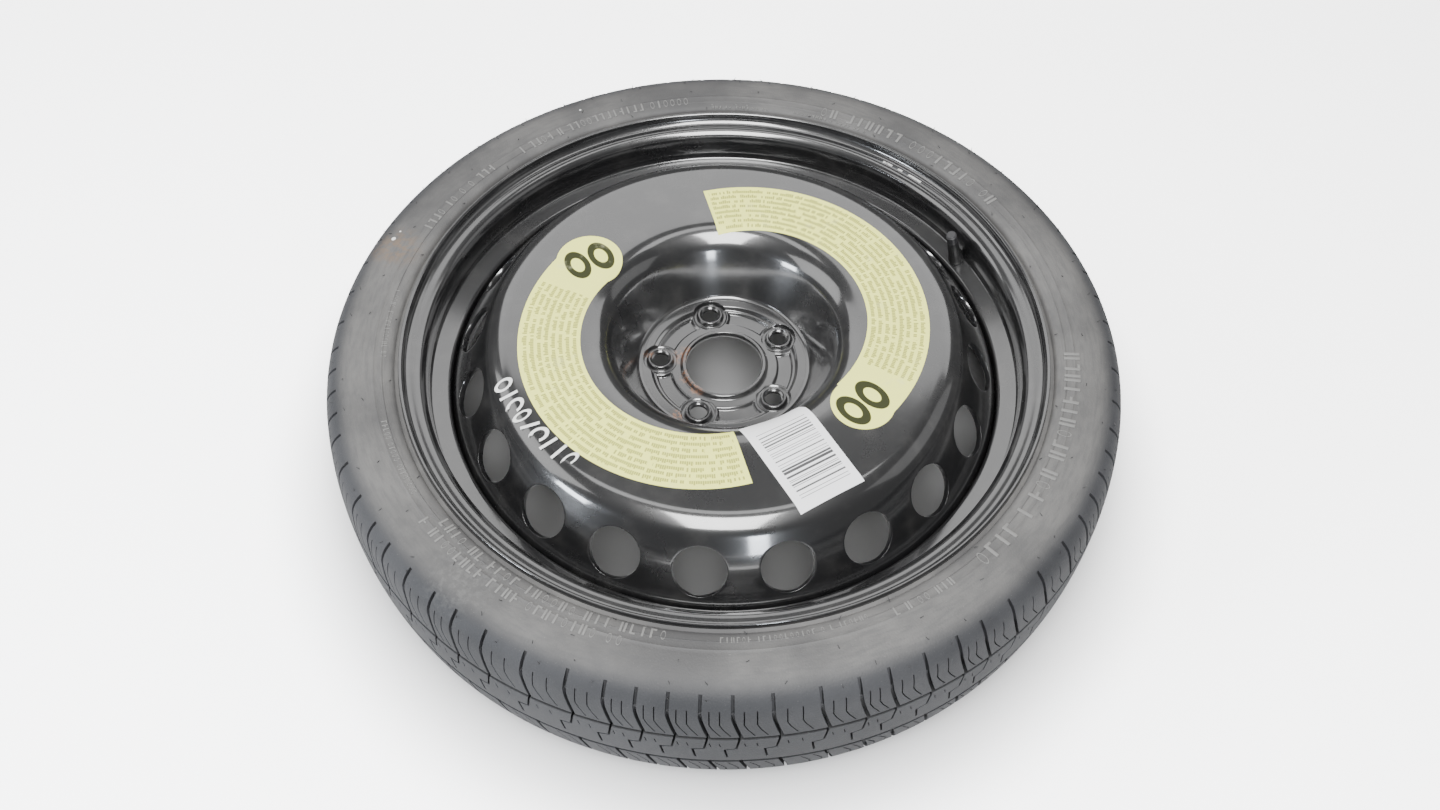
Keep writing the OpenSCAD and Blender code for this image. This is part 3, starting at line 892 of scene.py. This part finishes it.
def slotCutter(name, line, width, low, high):
    # a cutter that stands on the tread along a line, given as (along the tread, across it)
    left = offsetPath(line, width / 2)
    right = offsetPath(line, -width / 2)
    piece = outlined(name, left + list(reversed(right)))
    bpy.ops.mesh.extrude_region_move(TRANSFORM_OT_translate={"value": (0, (high - low) * mm, 0)})
    facedOut()
    # the drawing plane is turned so that its depth looks outwards from the axle
    piece.data.transform(Matrix(((0, 1, 0, low * mm), (1, 0, 0, 0), (0, 0, 1, 0), (0, 0, 0, 1))))
    pick(piece)
    editAll()
    facedOut()
    return piece


def shoulderCutter():
    # the part of a cross groove that runs down the shoulder
    t = tyre
    edge = crown(t["treadHalf"])
    deep = edge - t["grooveDepth"] + 2.5
    near, far = t["treadHalf"] + 5, t["treadHalf"] + 21.5
    outline = [(deep - 1.5, near), (edge - 13.5, far), (edge + 3, far), (edge + 6, near)]
    piece = outlined("shoulderCut", outline)
    width = t["crossWidth"] - 0.2
    bpy.ops.mesh.select_all(action="SELECT")
    bpy.ops.transform.translate(value=(0, -width / 2 * mm, 0))
    bpy.ops.mesh.extrude_region_move(TRANSFORM_OT_translate={"value": (0, width * mm, 0)})
    facedOut()
    return piece


def treadCutters():
    t = tyre
    b = t["ringGroove"] + t["ringWidth"] / 2
    a = t["ringGroove"] - t["ringWidth"] / 2
    edge = crown(t["treadHalf"])
    top = t["radius"] + 3
    deep = edge - t["grooveDepth"] + 2.5
    end = t["treadHalf"]
    line = [(7, b - 1), (4.1, 33.5), (1.8, end - 2), (0.5, end + 4), (0, end + 9)]
    cross = slotCutter("crossCut", line, t["crossWidth"], deep, top)
    down = shoulderCutter()
    line = [(8.5, b + 2), (2.8, 36), (0.2, 42.2), (0, 57)]
    sipe = slotCutter("sipeCut", line, t["sipeWidth"], edge - 5, top)
    line = [(5.5, a + 1), (3.2, 4.5), (-5.2, 2.6), (-3.0, -13)]
    rib = slotCutter("ribCut", line, 1.7, t["radius"] - t["grooveDepth"], top)
    ribSipe = slotCutter("ribSipeCut", [(0, 8), (-1.2, 14)], 0.8, t["radius"] - 4, top)
    copies = {"main": [], "shoulder": []}

    def place(source, turn, over=False, group="main"):
        copy = copyOf(source, Matrix.Rotation(math.pi, 4, "X") if over else Matrix())
        copy.data.transform(turnZ(math.radians(turn)))
        copies[group].append(copy)

    for turn, pitch in blockTurns():
        place(cross, turn)
        place(down, turn, False, "shoulder")
        place(cross, turn + t["shift"], True)
        place(down, turn + t["shift"], True, "shoulder")
        for share in (0.28, 0.60):
            place(sipe, turn + pitch * share)
            place(sipe, turn + t["shift"] - pitch * share, True)
        place(rib, turn)
        place(ribSipe, turn + pitch * 0.35)
        place(ribSipe, turn + pitch * 0.65)
    for source in (cross, down, sipe, rib, ribSipe):
        bpy.data.objects.remove(source)
    return [joinAll(copies[group], group + "Cuts") for group in copies]


def makeTyre():
    t = tyre
    lip = rim["beadRadius"] + rim["flangeHeight"]
    half = treadProfile()
    inner = t["radius"] - 11
    # the band goes from the crown out to the widest place, back inside, and out again on the other side
    inside = [(t["widest"] + 12, 60), (inner, 40), (inner, -40), (t["widest"] + 12, -60)]
    tread = turned("tyreTread", half + inside + flipped(half)[:-1], t["steps"])
    for cuts in treadCutters():
        applied(tread, "BOOLEAN", operation="DIFFERENCE", object=cuts, solver="EXACT")
        bpy.data.objects.remove(cuts)
    tread.data.transform(moveBy(0, 0, -rim["offset"]))
    smooth(tread, 30)
    bead = offsetPath(beadPath()[4:28], 0.15)
    side = [(t["widest"], t["halfWidth"]), (296, 72.0), (293.5, 71.9), (292.9, 72.25), (292.3, 71.85),
            (289, 71.7), (286.5, 71.4), (286.1, 71.75), (285.5, 71.1),
            (lip + 8, 70.3), (lip + 5.4, 69.0), (lip + 3.9, 67.2), (lip + 3.3, 65)]
    inside = [(rim["beadRadius"] + 3, rim["width"] / 2 - 21), (rim["beadRadius"] + 14, rim["width"] / 2 - 14),
              (lip + 6, 57), (t["widest"] - 6, 64), (t["widest"] + 6, 63.4)]
    walls = []
    for sign in (1, -1):
        outline = [(r, sign * z - rim["offset"]) for r, z in side + bead + inside]
        walls.append(turned("tyreWall", outline, t["steps"]))
    wall = joinAll(walls, "tyreSidewalls")
    smooth(wall, 35)
    return tread, wall


# rows of plain raised bars and rings on the sidewall:
# radius, direction from and to, height of a bar, pitch, height it stands up
sidewallMarks = [
    (288.5, 98, 134, 9.0, 6.6, 0.55), (281, 82, 94, 4.6, 3.6, 0.4), (281.5, 62, 77, 4.6, 3.8, 0.4),
    (290, 139, 157, 8.0, 7.0, 0.5), (290.5, 312, 358, 13.0, 11.5, 0.6), (288.5, 33, 72, 11.0, 10.0, 0.6),
    (284.2, 222, 262, 8.4, 7.4, 0.5), (295.4, 220, 258, 8.4, 7.4, 0.5), (285, 172, 187, 4.6, 3.8, 0.4),
    (284.5, 270, 292, 4.8, 4.0, 0.4), (289, 200, 215, 4.8, 4.0, 0.4), (289.5, 296, 306, 7.0, 6.0, 0.4),
]


def sideHeight(radius, path):
    # height of a profile at a radius
    for (r1, z1), (r2, z2) in zip(path, path[1:]):
        if min(r1, r2) <= radius <= max(r1, r2) and r1 != r2:
            return z1 + (z2 - z1) * (radius - r1) / (r2 - r1)
    return path[0][1]


def slopeAt(radius, path, reach):
    return math.atan2(sideHeight(radius - reach, path) - sideHeight(radius + reach, path), 2 * reach)


def makeRing(major, minor, segments, scale):
    # a ring pressed to an oval
    deselectAll()
    bpy.ops.mesh.primitive_torus_add(major_segments=segments, minor_segments=6,
                                     major_radius=major * mm, minor_radius=minor * mm)
    piece = bpy.context.object
    editAll()
    bpy.ops.transform.resize(value=scale, center_override=(0, 0, 0))
    bpy.ops.object.mode_set(mode="OBJECT")
    return piece


def makeBar(tall, wide, stand):
    # a bar with rounded edges that stands on z = 0, its long side along the radius
    deselectAll()
    bpy.ops.mesh.primitive_cube_add(size=1)
    piece = bpy.context.object
    editAll()
    bpy.ops.transform.resize(value=(tall * mm, wide * mm, 2.4 * mm))
    bpy.ops.transform.translate(value=(0, 0, (stand - 1.2) * mm))
    bpy.ops.mesh.bevel(offset=stand * 0.45 * mm, segments=2)
    bpy.ops.object.mode_set(mode="OBJECT")
    return piece


def makeMarks():
    random.seed(7)
    lip = rim["beadRadius"] + rim["flangeHeight"]
    path = [(tyre["widest"] + 8, 71.2), (tyre["widest"], tyre["halfWidth"]), (289, 71.7), (285.5, 71.1),
            (lip + 8, 70.3), (lip + 5.4, 69.0)]
    pieces = []
    for radius, low, high, tall, pitch, stand in sidewallMarks:
        bar = makeBar(tall, pitch * 0.24, stand)
        oval = (1.15, max(0.55, pitch * 0.62 / tall), 0.8)
        ring = makeRing(tall * 0.36, stand * 0.9, 20, oval)
        foot = makeBar(pitch * 0.2, pitch * 0.5, stand)
        turn = low
        lean = Matrix.Rotation(slopeAt(radius, path, 3), 4, "Y")
        while turn < high:
            kind = random.random()
            parts = [(bar, 0, 0)]
            if kind < 0.4:
                parts = [(ring, 0, 0)]
            elif kind < 0.7:
                end = random.choice([-1, 0, 1]) * tall * 0.4
                parts = [(bar, -pitch * 0.17, 0), (foot, pitch * 0.05, end)]
            elif kind < 0.85:
                parts = [(bar, -pitch * 0.2, 0), (bar, pitch * 0.2, 0)]
            for source, aside, out in parts:
                height = sideHeight(radius + out, path) - rim["offset"]
                a = math.radians(turn) + photoTurn + aside / radius
                pieces.append(copyOf(source, turnZ(a) @ moveBy(radius + out, 0, height) @ lean))
            turn += math.degrees(pitch / radius) * random.choice([1, 1, 1, 1.7])
        for source in (bar, ring, foot):
            bpy.data.objects.remove(source)
    marks = joinAll(pieces, "sidewallMarks")
    smooth(marks, 40)
    return marks


marker = {
    "strokes": 9, "closed": (0, 3), "open": (2, 5, 8), "pen": 1.35, "loop": 5.6, "line": 16, "flat": 0.3,
    "radius": 190.5, "drift": -8.5, "start": -160, "sweep": 29,
}


def makeMarker():
    # a row of loops and strokes in white marker on the disc's shoulder
    random.seed(5)
    m = marker
    face = roundedPath(discCorners(), 4)
    pieces = []
    for i in range(m["strokes"]):
        share = i / (m["strokes"] - 1)
        radius = m["radius"] + m["drift"] * share
        turn = math.radians(m["start"] + m["sweep"] * share) + photoTurn
        if i in m["closed"] + m["open"]:
            piece = makeRing(m["loop"], m["pen"], 28, (1.25, random.uniform(0.6, 0.95), m["flat"]))
            if i in m["open"]:
                dropFaces(piece, lambda f: f.center.x > 1.6 * mm and f.center.y > -1.8 * mm)
                selectWhere(piece, lambda e: True, "EDGE")
                bpy.ops.mesh.fill_holes(sides=0)
                bpy.ops.object.mode_set(mode="OBJECT")
        else:
            deselectAll()
            bpy.ops.mesh.primitive_cylinder_add(vertices=10, radius=m["pen"] * mm, depth=m["line"] * mm)
            piece = bpy.context.object
            editAll()
            origin = (0, 0, 0)
            bpy.ops.transform.rotate(value=math.pi / 2, orient_axis="Y", center_override=origin)
            bpy.ops.transform.resize(value=(1, 1, m["flat"]), center_override=origin)
            lean = random.uniform(-0.5, 0.5)
            bpy.ops.transform.rotate(value=lean, orient_axis="Z", center_override=origin)
            bpy.ops.object.mode_set(mode="OBJECT")
        slope = Matrix.Rotation(slopeAt(radius, face, 1), 4, "Y")
        place = turnZ(turn) @ moveBy(radius, 0, sideHeight(radius, face) + 0.1)
        piece.data.transform(place @ slope @ turnZ(random.uniform(-0.3, 0.3)))
        pieces.append(piece)
    strokes = joinAll(pieces, "markerStrokes")
    smooth(strokes, 50)
    return strokes


hair = {
    "foot": 0.42, "tip": 0.16, "length": 3.4, "lipHeight": 70.2, "lipLean": -0.1,
    # radius, count, degrees apart, spread
    "rows": [(302, 30, 12, 3), (279.5, 24, 15, 4), (318, 40, 9, 3), (328, 48, 7.5, 2)],
}


def makeHairs():
    # short moulding hairs that stand out of the sidewall and the shoulder
    random.seed(11)
    deselectAll()
    bpy.ops.mesh.primitive_cone_add(vertices=6, radius1=hair["foot"] * mm, radius2=hair["tip"] * mm,
                                    depth=hair["length"] * mm, location=(0, 0, 0))
    source = bpy.context.object
    path = treadProfile()
    places = []
    for radius, count, step, spread in hair["rows"]:
        places += [(radius, k * step + random.uniform(-spread, spread)) for k in range(count)]
    pieces = []
    for radius, turn in places:
        height, lean = hair["lipHeight"], hair["lipLean"]
        if radius > tyre["widest"]:
            height, lean = sideHeight(radius, path), slopeAt(radius, path, 1.5)
        axis = Vector((math.cos(turn * 7), math.sin(turn * 7), 0))
        tilt = Matrix.Rotation(random.uniform(0.5, 1.25), 4, axis)
        place = turnZ(math.radians(turn) + photoTurn) @ moveBy(radius, 0, height - rim["offset"])
        pieces.append(copyOf(source, place @ Matrix.Rotation(lean, 4, "Y") @ tilt @ moveBy(0, 0, 1.2)))
    bpy.data.objects.remove(source)
    hairs = joinAll(pieces, "mouldHairs")
    smooth(hairs, 40)
    return hairs


print("stage: shapes described")

# materials

def makePaint():
    gloss = {"Coat Weight": 1.0, "Coat Roughness": 0.07, "Specular IOR Level": 0.6, "Coat IOR": 1.88}
    black = (0.009, 0.009, 0.0095)
    material, shader, nodes, place = newMaterial("blackPaint", black, 0.3, **gloss)
    radius, angle, height = around(nodes, place)
    cloud = patch(nodes, place, 14, 0.3, 0.7)
    nodes.join(nodes.plus(0.26, nodes.times(cloud, 0.04)), shader.inputs["Roughness"])
    # thin dust that lies on the flat and on the ledge of the rim
    dust = patch(nodes, place, 35, 0.45, 0.85)
    color = nodes.tinted(dust, 0.035, (*black, 1), (0.6, 0.58, 0.54))
    # brown rust round the collar and at the foot of the bowl: radius, direction, size
    marks = []
    for r, turn, size in ((36.5, 165, 9), (35.5, 205, 6), (35.0, 228, 7), (67, 172, 4), (69, 235, 5)):
        marks.append(spot(nodes, place, photoPoint(r, turn, 9.2), size * mm, size * 0.5 * mm))
    rust = stained(nodes, place, nodes.most(marks), 320, 0.42, 0.62)
    color = nodes.tinted(rust, 0.8, color, (0.22, 0.085, 0.03))
    # white dashes on the inner face of the rim's flange
    onFlange = nodes.between(radius, 262.9 * mm, 265.1 * mm, 0.3 * mm)
    onFlange = nodes.times(onFlange, nodes.isAbove(height, 30 * mm))
    dashes = []
    for low, high in ((53.4, 55.6), (50.9, 52.0), (46.2, 49.4)):
        low, high = math.radians(low) + photoTurn, math.radians(high) + photoTurn
        dashes.append(nodes.between(angle, low, high, 0.0012))
    onDash = stained(nodes, place, nodes.times(nodes.most(dashes), onFlange), 120, 0.36, 0.5)
    color = nodes.tinted(onDash, 0.8, color, (0.75, 0.75, 0.73))
    nodes.join(color, shader.inputs["Base Color"])
    # dull scuffs on the paint
    scuff = patch(nodes, place, 55, 0.6, 0.9)
    nodes.join(nodes.plus(0.1, nodes.times(scuff, 0.03)), shader.inputs["Coat Roughness"])
    grain(nodes, shader, place, 1400, 0.000006, 0.4)
    return material


def makeRubber():
    material, shader, nodes, place = newMaterial("tyreRubber", (0.2, 0.2, 0.2), 0.6)
    radius, angle, height = around(nodes, place)
    # the sidewall is dusty grey and slightly warm, the shoulder and the tread are darker and cooler
    onSide = nodes.minus(1.0, nodes.ramp(radius, 312 * mm, 328 * mm))
    dust = patch(nodes, place, 7, 0.33, 0.66)
    streak = nodes.combined(nodes.times(radius, 60.0), nodes.times(angle, 3.0))
    rings = patch(nodes, streak, 5, 0.4, 0.66)
    side = nodes.mixColor(dust, (0.066, 0.065, 0.065, 1), (0.138, 0.135, 0.130, 1))
    side = nodes.tinted(rings, 0.35, side, (0.066, 0.066, 0.068))
    tread = nodes.mixColor(dust, (0.026, 0.027, 0.030, 1), (0.045, 0.046, 0.050, 1))
    # painted shade: the floors of the grooves are darkened nearly to black
    across = nodes.math("ABSOLUTE", nodes.plus(height, rim["offset"] * mm))
    across = nodes.over(across, tyre["treadHalf"] * mm)
    drop = nodes.times(nodes.math("POWER", across, tyre["slope"]), tyre["drop"] * mm)
    depth = nodes.minus(tyre["radius"] * mm, nodes.plus(drop, radius))
    paintedGrooveShade = nodes.times(nodes.ramp(depth, 0.25 * mm, 1.2 * mm), nodes.isBelow(across, 1.0))
    tread = nodes.tinted(paintedGrooveShade, 0.92, tread, (0.012, 0.012, 0.013))
    color = nodes.mixColor(onSide, tread, side)
    # brown stain, light scuffed strip and three drops of white paint
    stain = spot(nodes, place, photoPoint(305, 163, 52), 18 * mm, 12 * mm)
    stain = stained(nodes, place, stain, 160, 0.4, 0.6)
    color = nodes.tinted(stain, 0.5, color, (0.2, 0.13, 0.075))
    scuff = spot(nodes, place, photoPoint(302, 231, 52), 26 * mm, 16 * mm)
    scuff = stained(nodes, place, scuff, 240, 0.42, 0.66)
    color = nodes.tinted(scuff, 0.16, color, (0.26, 0.26, 0.25))
    for r, turn, size in ((306.5, 117.6, 1.3), (312.5, 161.2, 2.0), (311, 159.4, 0.9)):
        drop = spot(nodes, place, photoPoint(r, turn, 53.5), size * mm, 0.4 * mm)
        color = nodes.mixColor(drop, color, (0.82, 0.82, 0.8, 1))
    # specks of dust
    specks = patch(nodes, place, 900, 0.66, 0.72)
    color = nodes.tinted(specks, 0.2, color, (0.4, 0.39, 0.37))
    nodes.join(color, shader.inputs["Base Color"])
    grain(nodes, shader, place, 620, 0.00045, 0.55)
    return material


labelGloss = {"Specular IOR Level": 0.3}
labels = {
    "ink": (0.10, 0.105, 0.008, 1), "paper": (0.97, 1.0, 0.24, 1), "bold": (0.03, 0.034, 0.008, 1),
    "inner": 99.5, "outer": 151.5, "rowPitch": 5.9, "letter": 1.75, "word": 15.0,
    "right": {"centre": (22.54, 4.585), "from": -41, "to": 91, "end": -58.0, "pair": 31},
    "left": {"centre": (-23.01, -6.816), "from": 144, "to": 271.5, "end": 126.7, "pair": 17},
}


def makeYellow(side):
    # rows of short olive bars along the band, and two bold rings in its round end
    l = labels
    one = l[side]
    material, shader, nodes, place = newMaterial(side + "LabelFilm", l["paper"][:3], 0.5, **labelGloss)
    centreX, centreY = one["centre"]
    radius, angle = around(nodes, place, (centreX * mm, centreY * mm))[:2]
    middle = math.radians((one["from"] + one["to"]) / 2)
    # the angle counted from the middle of the band, so that it has no jump on it
    turnedAngle = nodes.add("ShaderNodeMath", operation="WRAP")
    nodes.join(nodes.minus(angle, middle), turnedAngle.inputs[0])
    turnedAngle.inputs[1].default_value = math.pi
    turnedAngle.inputs[2].default_value = -math.pi
    fromMiddle = turnedAngle.outputs[0]
    rows = nodes.over(nodes.minus(radius, (l["inner"] + 2.2) * mm), l["rowPitch"] * mm)
    row = nodes.math("FLOOR", rows)
    inRow = nodes.math("FRACT", rows)
    rowRadius = nodes.times(nodes.plus(row, l["inner"] / l["rowPitch"] + 0.9), l["rowPitch"])
    along = nodes.times(fromMiddle, rowRadius)
    letters = nodes.over(along, l["letter"])
    chance = nodes.add("ShaderNodeTexWhiteNoise", noise_dimensions="2D")
    nodes.join(nodes.combined(nodes.math("FLOOR", letters), row), chance.inputs["Vector"])
    wordPlace = nodes.combined(nodes.over(along, l["word"]), nodes.times(row, 7.3))
    words = nodes.add("ShaderNodeTexNoise", noise_dimensions="2D")
    words.inputs["Scale"].default_value = 1.6
    words.inputs["Detail"].default_value = 0
    nodes.join(wordPlace, words.inputs["Vector"])
    inWord = nodes.minus(1.0, nodes.isAbove(words.outputs["Fac"], 0.74))
    stroke = nodes.isBelow(nodes.math("FRACT", letters), 0.78)
    tall = nodes.plus(0.66, nodes.times(nodes.isAbove(chance.outputs["Value"], 0.72), 0.18))
    body = nodes.times(nodes.isAbove(inRow, 0.18), nodes.isBelow(inRow, tall))
    drawn = nodes.times(inWord, nodes.isAbove(chance.outputs["Value"], 0.1))
    mark = nodes.times(nodes.times(stroke, body), drawn)
    span = math.radians((one["to"] - one["from"]) / 2)
    inside = nodes.times(nodes.isBelow(nodes.math("ABSOLUTE", fromMiddle), span),
                        nodes.times(nodes.isAbove(rows, 0.0), nodes.isBelow(rows, 8.0)))
    mark = nodes.times(mark, inside)
    color = nodes.mixColor(nodes.times(mark, 0.62), l["paper"], l["ink"])
    a = math.radians(one["end"])
    middleRadius = (l["inner"] + l["outer"]) / 2 + 1.8
    for shift in (-11.2, 11.2):
        # an upright oval ring, beside its twin
        way = math.radians(one["pair"])
        x = centreX + middleRadius * math.cos(a) + shift * math.cos(way)
        y = centreY + middleRadius * math.sin(a) + shift * math.sin(way)
        oval = nodes.mapped(place, x, y, way, (10.6 * mm, 17.2 * mm, 1000))
        reach = nodes.add("ShaderNodeVectorMath", operation="LENGTH")
        nodes.join(oval, reach.inputs[0])
        color = nodes.mixColor(nodes.between(reach.outputs["Value"], 0.5, 0.97, 0.02), color, l["bold"])
    worn = patch(nodes, place, 60, 0.58, 0.75)
    color = nodes.tinted(worn, 0.25, color, (0.80, 0.80, 0.5))
    nodes.join(color, shader.inputs["Base Color"])
    grain(nodes, shader, place, 260, 0.00008, 0.35)
    return material


stockLabel = {"centre": (28.67, -139.44), "turn": -72.4, "paper": (0.95, 0.95, 0.96), "from": -31.0, "to": 36}


def makeStock():
    # stripes of uneven width across the label
    l = stockLabel
    material, shader, nodes, place = newMaterial("stockLabelPaper", l["paper"], 0.5, **labelGloss)
    parts = nodes.add("ShaderNodeSeparateXYZ")
    nodes.join(nodes.mapped(place, *l["centre"], math.radians(l["turn"])), parts.inputs[0])
    x, y = parts.outputs[0], parts.outputs[1]
    random.seed(21)
    stripes = []
    at = l["from"]
    while at < l["to"]:
        wide = random.choice([0.5, 0.5, 0.7, 1.0, 1.4])
        if -2 < at < 14 and random.random() < 0.6:
            wide = random.choice([1.8, 2.4])
        stripes.append(nodes.between(x, at * mm, (at + wide) * mm, 0.12 * mm))
        at += wide + random.choice([1.0, 1.6, 2.4, 3.2]) * (0.7 if -2 < at < 14 else 1)
    printed = nodes.times(nodes.most(stripes), nodes.between(y, -22 * mm, 23 * mm, 0.1 * mm))
    color = nodes.tinted(printed, 0.95, (*l["paper"], 1), (0.03, 0.029, 0.03))
    nodes.join(color, shader.inputs["Base Color"])
    grain(nodes, shader, place, 120, 0.0001, 0.3)
    return material


def simple(name, color, roughness, **settings):
    material, shader, nodes, place = newMaterial(name, color, roughness, **settings)
    grain(nodes, shader, place, 1500, 0.00003, 0.4)
    return material


paint = makePaint()
rubber = makeRubber()
rightFilm = makeYellow("right")
leftFilm = makeYellow("left")
stockPaper = makeStock()
valveRubber = simple("valveRubber", (0.02, 0.02, 0.02), 0.45)
brass = simple("brass", (0.72, 0.56, 0.3), 0.3, Metallic=1.0)
markerInk = simple("markerInk", (0.86, 0.86, 0.84), 0.5)
wornRubber = simple("wornRubber", (0.18, 0.178, 0.172), 0.6)
hairRubber = simple("hairRubber", (0.035, 0.035, 0.036), 0.6)
capPlastic = simple("capPlastic", (0.035, 0.035, 0.037), 0.45)
print("stage: materials ready")

finished(makeShell(), paint, "disc")
finished(makeHub(), paint, "disc")
finished(makeBosses(), paint, "disc")
print("stage: disc made")
finished(makeMarker(), markerInk, "disc")
finished(makeRim(), paint, "rim")
print("stage: rim made")
tread, sidewalls = makeTyre()
finished(tread, rubber, "tyre")
finished(sidewalls, rubber, "tyre")
finished(makeMarks(), wornRubber, "tyre")
finished(makeHairs(), hairRubber, "tyre")
print("stage: tyre made")

nodeFinish = {
    "disc_welds": paint, "valve_body": valveRubber, "valve_stem": brass, "core_plug": brass,
    "core_sleeve": brass, "core_seal": valveRubber, "core_pin": brass, "core_cup": valveRubber,
    "core_spring": brass, "cap_seal": valveRubber, "valve_cap": capPlastic,
    "label_right": rightFilm, "label_left": leftFilm, "stock_label": stockPaper,
}
for name, material in nodeFinish.items():
    painted(frame["nodes"][name], material)

for piece in bpy.data.objects:
    if piece.type == "MESH" and len(piece.data.polygons) > 5000:
        print("triangles", piece.name, sum(len(p.vertices) - 2 for p in piece.data.polygons))
